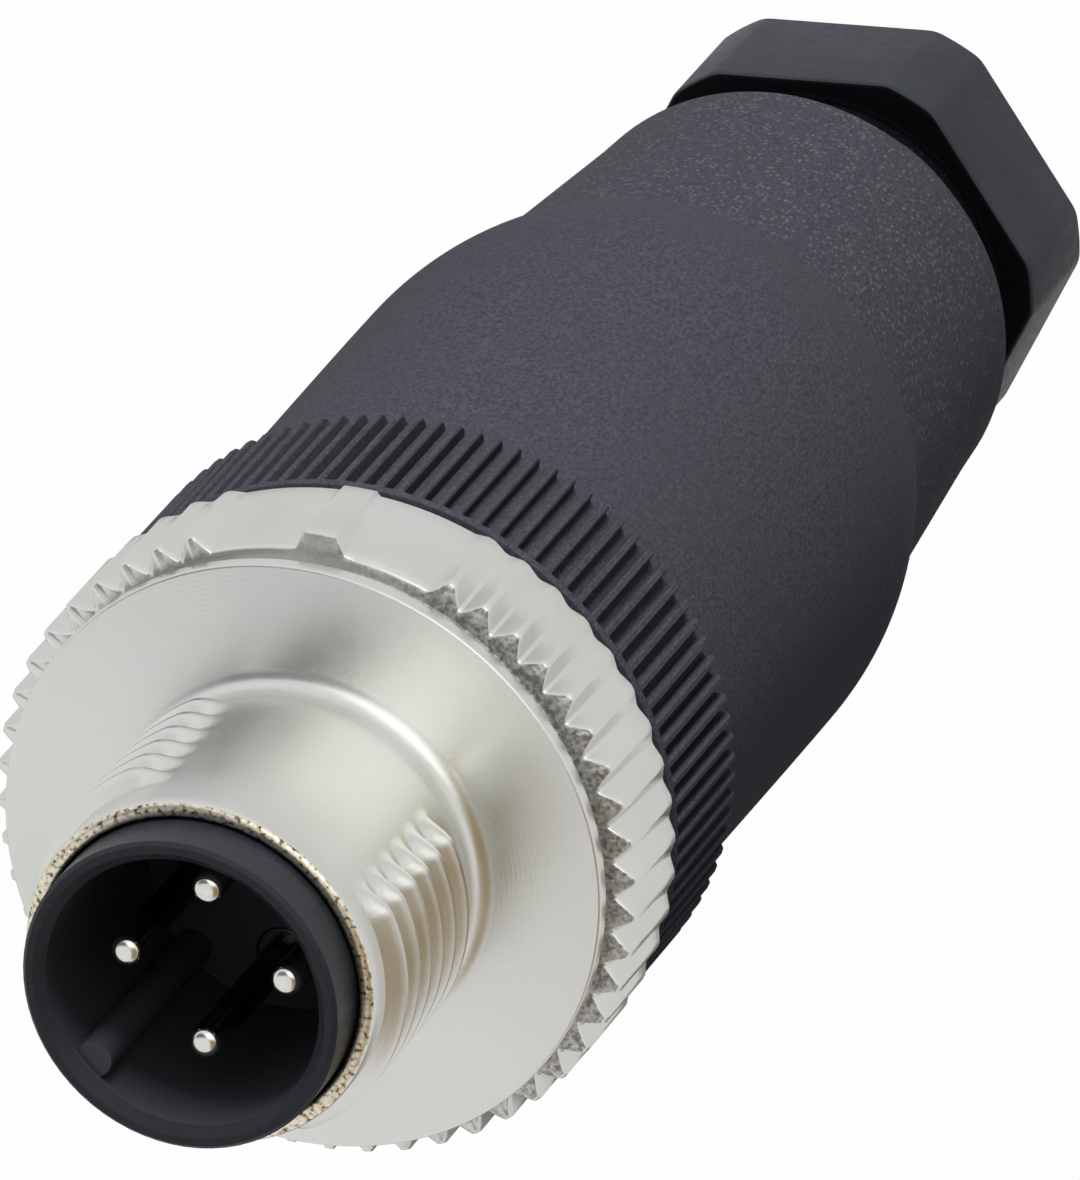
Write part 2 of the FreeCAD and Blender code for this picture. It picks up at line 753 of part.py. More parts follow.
def place_round(body, number, reach, level, lean):
    """Put a contact's piece at its place among the pins, facing outwards."""
    angle = 360.0 / PIN_COUNT * (number - 1)
    across = as_size(angle).cos() * reach
    away = as_size(angle).sin() * reach
    body.Placement = Placement(
        Vector(across.value, away.value, level.value), Rotation(Vector(0, 0, 1), angle) * lean)
    bind(body, "Placement.Base.x", across)
    bind(body, "Placement.Base.y", away)
    bind(body, "Placement.Base.z", level)


def make_terminal_screw(doc, d, r, z, number):
    """Slotted clamping screw, pointing at the plug's axis through the side of a barrel."""
    name = "terminal_screw_%d" % number
    body = new_body(doc, name)
    sketch = new_sketch(body, name + "_section", "XZ_Plane")
    inner_end = d["pin_circle_radius"] + d["screw_tip_offset"]
    length = r.screw_end - inner_end
    head_start = r.screw_head - inner_end
    closed_outline(sketch, [
        (ZERO, ZERO),
        (d["screw_radius"], ZERO),
        (d["screw_radius"], head_start),
        (d["screw_head_radius"], head_start),
        (d["screw_head_radius"], length),
        (ZERO, length),
    ])
    revolve(body, name + "_turned", sketch)
    slot_sketch = new_sketch(body, name + "_slot_section", "XY_Plane", level=length)
    slot_reach = d["screw_head_radius"] + d["screw_slot_depth"]
    trapezoid(slot_sketch, -slot_reach, slot_reach, d["screw_slot_width"], d["screw_slot_width"])
    extrude(body, name + "_slot", slot_sketch, d["screw_slot_depth"], "PartDesign::Pocket")
    place_round(body, number, inner_end, z.screw, Rotation(Vector(0, 1, 0), 90))
    return body


def make_retaining_ring(doc, d, r, z):
    """Open spring ring that holds the coupling ring on the carrier's hub."""
    body = new_body(doc, "retaining_ring")
    sketch = new_sketch(body, "retaining_ring_section", "XZ_Plane", turn=as_size(270))
    inner = r.hub - d["snap_depth"] + d["snap_clearance"] / 2
    outer = r.hub_bore + d["snap_depth"] - d["snap_clearance"]
    closed_outline(sketch, [
        (inner, z.snap_bottom),
        (outer, z.snap_bottom),
        (outer, z.snap_top),
        (inner, z.snap_top),
    ])
    revolve(body, "retaining_ring_wire", sketch, angle=as_size(360) - d["snap_gap_angle"])
    return body


def make_round_seal(doc, d, r, z):
    """Seal of round section between the carrier's flange and the grip."""
    seal = doc.addObject("Part::Torus", "union_seal")
    seal.Label = "union_seal"
    bind(seal, "Radius1", r.seal_seat + d["seal_section_radius"] + d["seal_clearance"])
    bind(seal, "Radius2", d["seal_section_radius"])
    bind(seal, "Placement.Base.z", z.flange_rear - d["seal_groove_width"] / 2)
    return seal


# Cable gland

def make_cage(doc, d, r, z):
    """Clamping cage with a flange under the nut and fingers that close on the cable seal."""
    body = new_body(doc, "clamping_cage")
    sketch = new_sketch(body, "cage_section", "XZ_Plane")
    flange = r.neck - d["cage_flange_setback"]
    bottom = z.cage_end
    flange_top = bottom + d["cage_flange_thickness"]
    lip_top = bottom + d["cage_lip_thickness"]
    top = bottom + d["cage_length"]
    bevel = d["cage_wall"] / 2
    closed_outline(sketch, [
        (r.cable_hole, bottom),
        (flange, bottom),
        (flange, flange_top),
        (r.cage, flange_top),
        (r.cage, top - bevel),
        (r.cage - bevel, top),
        (r.cage_bore, top),
        (r.cage_bore, lip_top),
        (r.cable_hole, lip_top),
    ])
    revolve(body, "cage_tube", sketch)
    slot_sketch = new_sketch(body, "cage_slot_section", "XY_Plane", level=top)
    trapezoid(slot_sketch, r.cage_bore - d["cage_wall"], r.cage + d["cage_wall"],
              d["cage_slot_width"], d["cage_slot_width"])
    slot = extrude(body, "cage_slot", slot_sketch, d["cage_length"] - d["cage_base_length"],
                   "PartDesign::Pocket")
    doc.recompute()
    repeat_round(body, "cage_slots", slot, d["cage_finger_count"])
    return body


def make_grommet(doc, d, r, z):
    """Rubber cable seal inside the cage, with the cable's hole through it."""
    body = new_body(doc, "cable_seal")
    sketch = new_sketch(body, "grommet_section", "XZ_Plane")
    bottom = z.cage_end + d["cage_lip_thickness"]
    top = bottom + d["grommet_length"]
    bevel = d["grommet_bevel"]
    closed_outline(sketch, [
        (d["grommet_bore_radius"], bottom),
        (r.grommet, bottom),
        (r.grommet, top - bevel),
        (r.grommet - bevel, top),
        (d["grommet_bore_radius"], top),
    ])
    revolve(body, "grommet", sketch)
    return body


def make_gland_nut(doc, d, r, z):
    """Hexagonal gland nut with turned-down corners and a tapered end collar."""
    hexagon = doc.addObject("Part::Prism", "nut_hexagon")
    hexagon.Polygon = 6
    bind(hexagon, "Circumradius", r.nut_flat / as_size(30).cos())
    bind(hexagon, "Height", d["nut_hex_length"])
    hexagon.Placement = Placement(Vector(0, 0, 0), Rotation(Vector(0, 0, 1), d["nut_turn_angle"].value))
    bind(hexagon, "Placement.Base.z", z.hex_bottom)
    bind(hexagon, "Placement.Rotation.Angle", d["nut_turn_angle"])
    turned = doc.addObject("Part::Cylinder", "nut_turned_corners")
    bind(turned, "Radius", r.nut_flat + d["nut_corner_reach"])
    bind(turned, "Height", d["nut_hex_length"])
    bind(turned, "Placement.Base.z", z.hex_bottom)
    head = doc.addObject("Part::Common", "nut_head")
    head.Base = hexagon
    head.Tool = turned
    collar = doc.addObject("Part::Cone", "nut_collar")
    collar_base = r.nut_flat - d["nut_collar_setback"]
    bind(collar, "Radius1", collar_base - d["nut_collar_taper"])
    bind(collar, "Radius2", collar_base)
    bind(collar, "Height", d["nut_collar_length"])
    blank = doc.addObject("Part::Fuse", "nut_blank")
    blank.Base = head
    blank.Tool = collar
    hollow = doc.addObject("Part::Cylinder", "nut_hollow")
    bind(hollow, "Radius", r.nut_bore)
    bind(hollow, "Height", z.nut_front - d["nut_end_wall"])
    bind(hollow, "Placement.Base.z", d["nut_end_wall"])
    mouth = doc.addObject("Part::Cone", "nut_mouth")
    bind(mouth, "Radius1", r.nut_bore)
    bind(mouth, "Radius2", r.nut_bore + d["nut_mouth_bevel"])
    bind(mouth, "Height", d["nut_mouth_bevel"])
    bind(mouth, "Placement.Base.z", z.nut_front - d["nut_mouth_bevel"])
    cable_hole = doc.addObject("Part::Cylinder", "nut_cable_hole")
    bind(cable_hole, "Radius", r.cable_hole)
    bind(cable_hole, "Height", z.nut_front)
    holes = doc.addObject("Part::MultiFuse", "nut_holes")
    holes.Shapes = [hollow, mouth, cable_hole]
    nut = doc.addObject("Part::Cut", "gland_nut")
    nut.Base = blank
    nut.Tool = holes
    nut.Label = "gland_nut"
    return nut


def check_and_export(doc, pieces):
    """Refuse a model with a failed feature, then write one STEP file for each piece."""
    for obj in doc.Objects:
        if "Invalid" in obj.State or "Error" in obj.State:
            raise RuntimeError("failed feature: %s %s" % (obj.Name, obj.State))
    for piece in pieces:
        shape = piece.Shape
        if shape.isNull() or not shape.isValid() or shape.Volume <= 0:
            raise RuntimeError("bad shape: " + piece.Label)
    os.makedirs("parts", exist_ok=True)
    for piece in pieces:
        piece.Shape.exportStep("parts/%s.step" % piece.Label)
        box = piece.Shape.BoundBox
        print("%-20s solids %d volume %9.3f  z %.2f to %.2f  x %.2f to %.2f" % (
            piece.Label, len(piece.Shape.Solids), piece.Shape.Volume, box.ZMin, box.ZMax, box.XMin, box.XMax))


def main():
    doc = FreeCAD.newDocument("m12_connector")
    d = make_sheet(doc)
    r = Radii(d)
    z = Levels(d)
    pieces = [
        make_grip(doc, d, r, z),
        make_coupling_ring(doc, d, r, z),
        make_carrier(doc, d, r, z),
        make_retaining_ring(doc, d, r, z),
        make_round_seal(doc, d, r, z),
        make_cage(doc, d, r, z),
        make_grommet(doc, d, r, z),
        make_gland_nut(doc, d, r, z),
    ]
    for number in range(1, PIN_COUNT + 1):
        pieces.append(make_pin(doc, d, r, z, number))
        pieces.append(make_terminal_screw(doc, d, r, z, number))
    doc.recompute()
    check_and_export(doc, pieces)


main()
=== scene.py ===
"""Finish of a four-pin M12 cable plug: rounded edges, surface texture, light and camera.

The grip, coupling ring, gland nut and pins are made here in place of the frame's own pieces. All
other pieces are the frame's, with a finish. Shapes are given in millimetres and angles in degrees,
and are turned into metres and radians where meshes are made.
"""

import math

import bmesh
import bpy
from mathutils import Matrix, Vector


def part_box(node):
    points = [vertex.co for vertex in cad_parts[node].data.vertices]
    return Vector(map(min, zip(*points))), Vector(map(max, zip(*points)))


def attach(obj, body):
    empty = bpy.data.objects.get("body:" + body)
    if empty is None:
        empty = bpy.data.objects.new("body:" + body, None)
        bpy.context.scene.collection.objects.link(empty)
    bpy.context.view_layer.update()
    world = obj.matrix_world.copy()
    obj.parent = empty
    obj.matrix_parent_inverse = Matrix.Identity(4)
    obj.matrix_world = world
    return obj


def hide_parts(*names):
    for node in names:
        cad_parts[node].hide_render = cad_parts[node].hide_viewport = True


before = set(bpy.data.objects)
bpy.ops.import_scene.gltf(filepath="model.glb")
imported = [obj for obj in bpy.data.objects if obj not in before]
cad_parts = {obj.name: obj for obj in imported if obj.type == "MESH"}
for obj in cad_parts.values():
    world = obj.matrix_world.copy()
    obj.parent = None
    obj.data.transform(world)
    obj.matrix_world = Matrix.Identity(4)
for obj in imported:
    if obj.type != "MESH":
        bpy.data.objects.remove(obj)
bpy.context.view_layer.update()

MM = 0.001
FULL_TURN = 360.0

# Heights and radii read from the frame


def low(node):
    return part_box(node)[0].z / MM


def high(node):
    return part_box(node)[1].z / MM


NUT_FRONT = high("gland_nut")
NECK_END = low("grip_body")
GRIP_FRONT = high("grip_body")
RING_REAR = low("coupling_ring")
SLEEVE_FRONT = high("coupling_ring")
SHROUD_FRONT = high("contact_carrier")
PIN_TIP = high("contact_pin_1")
BARREL_END = low("contact_pin_1")

# Camera, fitted to the circles, pins and outlines of the photograph

CAMERA_AZIMUTH = 144.535
CAMERA_ELEVATION = 57.924
CAMERA_ROLL = -138.652
CAMERA_DISTANCE = 700.0
CAMERA_AIM = (-0.146, -0.334, 30.223)
CAMERA_LENS = 709.5
SENSOR = 36.0


# Meshes

class Skin:
    """Rings of points round an axis and the faces between them."""

    def __init__(self, axis=(0.0, 0.0)):
        self.axis = axis
        self.points = []
        self.faces = []

    def ring(self, angles, place):
        """One ring: place(angle) gives the radius and height there, in millimetres."""
        made = []
        for angle in angles:
            radius, height = place(angle)
            turn = math.radians(angle)
            made.append(len(self.points))
            self.points.append((
                (self.axis[0] + radius * math.cos(turn)) * MM,
                (self.axis[1] + radius * math.sin(turn)) * MM,
                height * MM,
            ))
        return made

    def join(self, first, second):
        """Faces between two rings, of which one may have a whole number of times more points."""
        if len(first) == len(second):
            count = len(first)
            for n in range(count):
                m = (n + 1) % count
                self.faces.append((first[n], first[m], second[m], second[n]))
            return
        fine, coarse = (first, second) if len(first) > len(second) else (second, first)
        step = len(fine) // len(coarse)
        for n, corner in enumerate(coarse):
            following = coarse[(n + 1) % len(coarse)]
            for k in range(step):
                here = fine[n * step + k]
                there = fine[(n * step + k + 1) % len(fine)]
                self.faces.append((here, there, corner if k < step // 2 else following))
            self.faces.append((corner, fine[n * step + step // 2], following))

    def join_all(self, rings, closed=True):
        for n in range(len(rings) - (0 if closed else 1)):
            self.join(rings[n], rings[(n + 1) % len(rings)])

    def cap(self, ring, height):
        """A fan that closes a ring at its middle."""
        middle = len(self.points)
        self.points.append((self.axis[0] * MM, self.axis[1] * MM, height * MM))
        for n in range(len(ring)):
            self.faces.append((ring[n], ring[(n + 1) % len(ring)], middle))

    def piece(self, name, body, slot, material, nodes, sharp=30.0):
        """The finished object, riding on its body in place of the nodes named."""
        mesh = bpy.data.meshes.new(name)
        mesh.from_pydata(self.points, [], self.faces)
        form = bmesh.new()
        form.from_mesh(mesh)
        bmesh.ops.recalc_face_normals(form, faces=form.faces)
        form.to_mesh(mesh)
        form.free()
        mesh.shade_smooth()
        mesh.set_sharp_from_angle(angle=math.radians(sharp))
        mesh.materials.append(material)
        made = bpy.data.objects.new(name, mesh)
        bpy.context.scene.collection.objects.link(made)
        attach(made, body)
        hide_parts(*nodes)
        return made


def even_angles(count, start=0.0):
    return [start + FULL_TURN * n / count for n in range(count)]


def rounded(corners, steps=4):
    """Closed outline of (radius, height, cut) corners, each cut off by a small curve."""
    outline = []
    count = len(corners)
    for n, (radius, height, cut) in enumerate(corners):
        corner = Vector((radius, height))
        if not cut:
            outline.append((radius, height))
            continue
        before = Vector(corners[n - 1][:2]) - corner
        after = Vector(corners[(n + 1) % count][:2]) - corner
        start = corner + before.normalized() * min(cut, before.length / 2)
        end = corner + after.normalized() * min(cut, after.length / 2)
        for k in range(steps + 1):
            t = k / steps
            point = start * (1 - t) ** 2 + corner * (2 * t * (1 - t)) + end * t ** 2
            outline.append((point.x, point.y))
    return outline


def arc(start, end, level, steps):
    """Points between start and end, both included, on a circle whose centre lies at a height."""
    r0, z0 = start
    r1, z1 = end
    centre = ((r1 ** 2 - r0 ** 2) + (z1 - level) ** 2 - (z0 - level) ** 2) / (2 * (r1 - r0))
    size = math.hypot(r0 - centre, z0 - level)
    first = math.atan2(z0 - level, r0 - centre)
    last = math.atan2(z1 - level, r1 - centre)
    return [(centre + size * math.cos(first + (last - first) * n / steps),
             level + size * math.sin(first + (last - first) * n / steps))
            for n in range(steps + 1)]


def smoothstep(t):
    t = min(max(t, 0.0), 1.0)
    return t * t * (3 - 2 * t)


def nearest_turn(angle, centre):
    """Signed angle from a centre, between minus and plus half a turn."""
    return (angle - centre + FULL_TURN / 2) % FULL_TURN - FULL_TURN / 2


# Materials

# Turned marks for each metre of radius, as an angle in radians
TURNED_MARKS = 40000.0
# Side of the knurl towards which the face in front of it is rougher and carries painted shade
SHADED_SIDE_AZIMUTH = 10.0
# Inside of the shroud, which is coloured lighter as painted light
CAVITY_RADIUS = 4.3


class Finish:
    """A material whose nodes are added one after another."""

    def __init__(self, name, colour, roughness, metallic=0.0):
        self.material = bpy.data.materials.new(name)
        self.material.use_nodes = True
        self.tree = self.material.node_tree
        self.shader = self.tree.nodes["Principled BSDF"]
        self.shader.inputs["Base Color"].default_value = (*colour, 1.0)
        self.shader.inputs["Roughness"].default_value = roughness
        self.shader.inputs["Metallic"].default_value = metallic
        self.place = self.tree.nodes.new("ShaderNodeTexCoord").outputs["Object"]

    def link(self, source, target):
        self.tree.links.new(source, target)

    def noise(self, size, detail=2.0, stretch=(1.0, 1.0, 1.0)):
        """Noise from 0 to 1 whose grains are about size millimetres."""
        place = self.place
        if stretch != (1.0, 1.0, 1.0):
            mapping = self.tree.nodes.new("ShaderNodeMapping")
            mapping.inputs["Scale"].default_value = stretch
            self.link(place, mapping.inputs["Vector"])
            place = mapping.outputs["Vector"]
        made = self.tree.nodes.new("ShaderNodeTexNoise")
        made.inputs["Scale"].default_value = 1 / (size * MM)
        made.inputs["Detail"].default_value = detail
        self.link(place, made.inputs["Vector"])
        return made.outputs["Fac"]

    def cells(self, size):
        """Cells about size millimetres across: distance from a middle, and the cell's number."""
        made = self.tree.nodes.new("ShaderNodeTexVoronoi")
        made.inputs["Scale"].default_value = 1 / (size * MM)
        self.link(self.place, made.inputs["Vector"])
        parts = self.tree.nodes.new("ShaderNodeSeparateColor")
        self.link(made.outputs["Color"], parts.inputs["Color"])
        return made.outputs["Distance"], parts.outputs["Red"]

    def ramp(self, source, stops):
        """Colours by a value: stops are (value, colour)."""
        made = self.tree.nodes.new("ShaderNodeValToRGB")
        elements = made.color_ramp.elements
        while len(elements) < len(stops):
            elements.new(0.5)
        for element, (value, colour) in zip(elements, stops):
            element.position = value
            element.color = (*colour, 1.0)
        self.link(source, made.inputs["Fac"])
        return made.outputs["Color"]

    def span(self, source, lowest, highest, start=0.0, end=1.0):
        """Value between lowest and highest as the source goes from start to end."""
        made = self.tree.nodes.new("ShaderNodeMapRange")
        made.inputs["From Min"].default_value = start
        made.inputs["From Max"].default_value = end
        made.inputs["To Min"].default_value = lowest
        made.inputs["To Max"].default_value = highest
        self.link(source, made.inputs["Value"])
        return made.outputs["Result"]

    def calc(self, operation, *values):
        made = self.tree.nodes.new("ShaderNodeMath")
        made.operation = operation
        for socket, value in zip(made.inputs, values):
            if isinstance(value, (int, float)):
                socket.default_value = value
            else:
                self.link(value, socket)
        return made.outputs["Value"]

    def mix(self, factor, first, second):
        """Blend of two colours, each a colour or a socket."""
        made = self.tree.nodes.new("ShaderNodeMix")
        made.data_type = "RGBA"
        sockets = [s for s in made.inputs if s.type == "RGBA"]
        for socket, value in zip(sockets, (first, second)):
            if isinstance(value, tuple):
                socket.default_value = (*value, 1.0)
            else:
                self.link(value, socket)
        self.link(factor, made.inputs["Factor"])
        return next(s for s in made.outputs if s.type == "RGBA")

    def axis_parts(self):
        """Distance from the plug's axis and height along it, in metres."""
        parts = self.tree.nodes.new("ShaderNodeSeparateXYZ")
        self.link(self.place, parts.inputs["Vector"])
        x, y, z = (parts.outputs[n] for n in "XYZ")
        squares = self.calc("ADD", self.calc("MULTIPLY", x, x), self.calc("MULTIPLY", y, y))
        return self.calc("SQRT", squares), z

    def towards(self, azimuth):
        """Distance from the plug's axis towards an azimuth, in metres."""
        made = self.tree.nodes.new("ShaderNodeVectorMath")
        made.operation = "DOT_PRODUCT"
        turn = math.radians(azimuth)
        made.inputs[1].default_value = (math.cos(turn), math.sin(turn), 0.0)
        self.link(self.place, made.inputs[0])
        return made.outputs["Value"]

    def colour(self, source):
        self.link(source, self.shader.inputs["Base Color"])

    def roughness(self, source):
        self.link(source, self.shader.inputs["Roughness"])

    def bump(self, source, depth, strength=1.0, edge=0.0):
        """Relief of depth millimetres, over edges softened by a radius in millimetres."""
        made = self.tree.nodes.new("ShaderNodeBump")
        made.inputs["Strength"].default_value = strength
        made.inputs["Distance"].default_value = depth * MM
        self.link(source, made.inputs["Height"])
        if edge:
            soft = self.tree.nodes.new("ShaderNodeBevel")
            soft.samples = 4
            soft.inputs["Radius"].default_value = edge * MM
            self.link(soft.outputs["Normal"], made.inputs["Normal"])
        self.link(made.outputs["Normal"], self.shader.inputs["Normal"])


def grip_finish():
    """Spark-eroded moulding: slate grey with a fine grain, and painted glints as light specks,
    strongest behind the kink.
    """
    finish = Finish("grip_plastic", (0.068, 0.069, 0.082), 0.75)
    finish.shader.inputs["Specular IOR Level"].default_value = 0.02
    height = finish.axis_parts()[1]
    grain = finish.noise(0.10, 3.0, stretch=(1.0, 1.0, 0.6))
    cloud = finish.noise(5.0, 2.0)
    base = finish.ramp(grain, [(0.36, (0.048, 0.049, 0.060)), (0.64, (0.084, 0.086, 0.103))])
    worn = finish.mix(finish.span(cloud, 0.0, 0.4, 0.35, 0.65), base, (0.064, 0.065, 0.079))
    # Painted glints: light specks from these cells, strongest behind the kink.
    distance, chance = finish.cells(0.16)
    rare = finish.calc("GREATER_THAN", chance, 0.66)
    rear = finish.span(height, 0.8, 0.2, (GRIP_KINK - 1.0) * MM, (GRIP_KINK + 0.5) * MM)
    painted_glint = finish.calc("MULTIPLY", rare, finish.calc("MULTIPLY", rear, finish.span(
        distance, 1.0, 0.0, 0.15, 0.50)))
    finish.colour(finish.mix(painted_glint, worn, (0.165, 0.168, 0.180)))
    finish.roughness(finish.span(grain, 0.62, 0.85, 0.3, 0.7))
    finish.bump(grain, 0.025, 0.4)
    return finish.material


def nut_finish():
    """Smooth satin moulding, dark blue grey, with painted shade that makes its front face near
    black.
    """
    finish = Finish("nut_plastic", (0.045, 0.048, 0.058), 0.42)
    finish.shader.inputs["Specular IOR Level"].default_value = 0.06
    grain = finish.noise(0.30, 3.0)
    cloud = finish.noise(2.5, 2.0)
    base = finish.ramp(cloud, [(0.3, (0.040, 0.043, 0.052)), (0.7, (0.050, 0.054, 0.065))])
    height = finish.axis_parts()[1]
    # Painted shade: the front face, in the gap under the grip, is coloured near black.
    face = finish.calc("GREATER_THAN", height, (NUT_FRONT - 0.03) * MM)
    finish.colour(finish.mix(face, base, (0.005, 0.005, 0.006)))
    finish.roughness(finish.span(grain, 0.36, 0.50, 0.3, 0.7))
    finish.bump(grain, 0.012, 0.4)
    return finish.material


def carrier_finish():
    """Smooth near-black moulding with a faint sheen, and painted light that makes it lighter inside
    the shroud.
    """
    finish = Finish("carrier_plastic", (0.014, 0.015, 0.020), 0.36)
    finish.shader.inputs["Specular IOR Level"].default_value = 0.24
    grain = finish.noise(0.25, 3.0)
    base = finish.ramp(grain, [(0.3, (0.018, 0.020, 0.026)), (0.7, (0.025, 0.028, 0.036))])
    radius, height = finish.axis_parts()
    # Painted light: the inside of the shroud is coloured lighter.
    inside = finish.calc("MULTIPLY", finish.calc("LESS_THAN", radius, CAVITY_RADIUS * MM),
                         finish.calc("LESS_THAN", height, (SHROUD_FRONT - 0.3) * MM))
    finish.colour(finish.mix(inside, base, (0.065, 0.068, 0.078)))
    finish.roughness(finish.span(grain, 0.30, 0.44, 0.3, 0.7))
    finish.bump(grain, 0.008, 0.4, edge=0.05)
    return finish.material


def cage_finish():
    """Plain grey moulding of the clamping cage."""
    finish = Finish("cage_plastic", (0.05, 0.05, 0.055), 0.5)
    grain = finish.noise(0.3, 3.0)
    finish.colour(finish.ramp(grain, [(0.3, (0.040, 0.040, 0.044)), (0.7, (0.058, 0.058, 0.064))]))
    finish.roughness(finish.span(grain, 0.42, 0.6, 0.3, 0.7))
    finish.bump(grain, 0.015, 0.4, edge=0.05)
    return finish.material


def nickel_finish():
    """Satin nickel plate with turned marks, and a face in front of the knurl that is rougher on one
    side and carries painted shade there, mottled by the grain.
    """
    finish = Finish("nickel_plate", (0.78, 0.78, 0.75), 0.30, metallic=1.0)
    radius, height = finish.axis_parts()
    cloud = finish.noise(3.2, 3.0)
    grain = finish.noise(0.16, 4.0)
    warm = finish.ramp(cloud, [(0.35, (0.73, 0.735, 0.69)), (0.65, (0.80, 0.805, 0.78))])
    # Painted shade: the face in front of the knurl and the undercut are darker and mottled on one
    # side.
    between = finish.calc("MULTIPLY",
                          finish.calc("GREATER_THAN", height, (KNURL_FRONT - 0.02) * MM),
                          finish.calc("LESS_THAN", height, (DISC_REAR - 0.05) * MM))
    side = finish.span(finish.towards(SHADED_SIDE_AZIMUTH), 0.0, 1.0, 0.0, 6.0 * MM)
    front = finish.calc("MULTIPLY", between, side)
    mottled_undercut_shade = finish.ramp(grain, [(0.38, (0.30, 0.30, 0.29)), (0.60, (0.70, 0.70, 0.68))])
    mouth = finish.calc("GREATER_THAN", height, (SLEEVE_FRONT - 0.09) * MM)
    worn = finish.ramp(grain, [(0.36, (0.16, 0.12, 0.07)), (0.46, (0.74, 0.66, 0.50)),
                               (0.60, (0.92, 0.88, 0.76))])
    finish.colour(finish.mix(mouth, finish.mix(front, warm, mottled_undercut_shade), worn))
    satin = finish.span(cloud, 0.24, 0.34, 0.35, 0.65)
    finish.roughness(finish.calc("ADD", satin, finish.calc("MULTIPLY", front, 0.2)))
    marks = finish.calc("SINE", finish.calc("MULTIPLY", radius, TURNED_MARKS))
    relief = finish.calc("ADD", grain, finish.calc("MULTIPLY", marks, 0.12))
    finish.bump(relief, 0.010, 0.3)
    turned = finish.tree.nodes.new("ShaderNodeTangent")
    turned.direction_type = "RADIAL"
    turned.axis = "Z"
    finish.link(turned.outputs["Tangent"], finish.shader.inputs["Tangent"])
    finish.shader.inputs["Anisotropic"].default_value = 0.45
    finish.shader.inputs["Anisotropic Rotation"].default_value = 0.25
    return finish.material


def plated_finish(name, colour, roughness, relief):
    """Small metal part with a fine turned grain, whose relief is in millimetres.

    A pin carries painted shade below its tip, where it stands in the shroud.
    """
    finish = Finish(name, colour, roughness, metallic=1.0)
    grain = finish.noise(0.4, 2.0, stretch=(1.0, 1.0, 0.25))
    darker = tuple(0.88 * part for part in colour)
    plating = finish.ramp(grain, [(0.3, darker), (0.7, colour)])
    height = finish.axis_parts()[1]
    # Painted shade: a pin's shaft darkens below its tip, down to the cavity floor.
    shade_below_tip = finish.span(height, 0.0, 0.92, (PIN_TIP - 0.5) * MM, (PIN_TIP - 2.0) * MM)
    above = finish.calc("GREATER_THAN", height, (CAVITY_FLOOR - 0.1) * MM)
    painted_shaft_shade = finish.calc("MULTIPLY", shade_below_tip, above)
    finish.colour(finish.mix(painted_shaft_shade, plating, (0.02, 0.02, 0.02)))
    finish.roughness(finish.span(grain, roughness - 0.04, roughness + 0.06, 0.3, 0.7))
    if relief:
        finish.bump(grain, relief, 0.3, edge=0.04)
    return finish.material


def rubber_finish():
    """Soft black rubber with a dull bloom."""
    finish = Finish("seal_rubber", (0.03, 0.03, 0.03), 0.75)
    grain = finish.noise(0.35, 3.0)
    finish.colour(finish.ramp(grain, [(0.3, (0.022, 0.022, 0.022)), (0.7, (0.036, 0.036, 0.036))]))
    finish.roughness(finish.span(grain, 0.68, 0.82, 0.3, 0.7))
    finish.bump(grain, 0.02, 0.4)
    return finish.material


# Grip

RIB_COUNT = 98
RIB_WIDTH = 0.24
RIB_EDGE = 0.05
BAND_RADIUS = 9.9
BAND_FLOOR = 9.45
BAND_LENGTH = 5.6
BAND_RIM = 0.4
NECK_RADIUS = 5.6
NECK_BORE = 4.6
NECK_THREAD_DEPTH = 0.4
NECK_THREAD_WIDTH = 0.7
NECK_THREAD_START = 0.5
NECK_THREAD_TURNS = 3.5
NECK_ROWS = 56
GRIP_END = 9.0
GRIP_END_RADIUS = 7.3
GRIP_END_ROUND = 0.45
GRIP_KINK = 20.0
GRIP_KINK_RADIUS = 8.2
GRIP_BULGE = 25.5
GRIP_BULGE_RADIUS = 9.25
GRIP_WAIST_RADIUS = 9.15
SEAT_DEPTH = 1.6
SEAT_TAPER = 1.2
PASSAGE_LENGTH = 3.5
FUNNEL_LENGTH = 7.0
CHAMBER_RADIUS = 7.25
PASSAGE_RADIUS = 4.0
UNION_BORE = 7.05
FLANGE_BORE = 8.05
FLANGE_REAR = GRIP_FRONT - 1.2
UNION_END = GRIP_FRONT - 7.8


def rib_angles():
    """Column angles round the band: seven across each rib and one in each groove."""
    reach = FULL_TURN / RIB_COUNT
    half = math.degrees(RIB_WIDTH / 2 / BAND_RADIUS)
    edge = math.degrees(RIB_EDGE / BAND_RADIUS)
    offsets = [-half - edge * 0.3, -half, -half + edge, 0.0, half - edge, half, half + edge * 0.3,
               reach / 2]
    return [n * reach + offset for n in range(RIB_COUNT) for offset in offsets]


def rib_share(angle):
    """1 on a rib's top, 0 in a groove, and less than 1 on the rib's rounded edge."""
    away = abs(nearest_turn(angle * RIB_COUNT, 0.0)) / RIB_COUNT
    half = math.degrees(RIB_WIDTH / 2 / BAND_RADIUS)
    edge = math.degrees(RIB_EDGE / BAND_RADIUS)
    if away > half + edge * 0.1:
        return 0.0
    return 1.0 if away < half - edge * 0.5 else 0.88


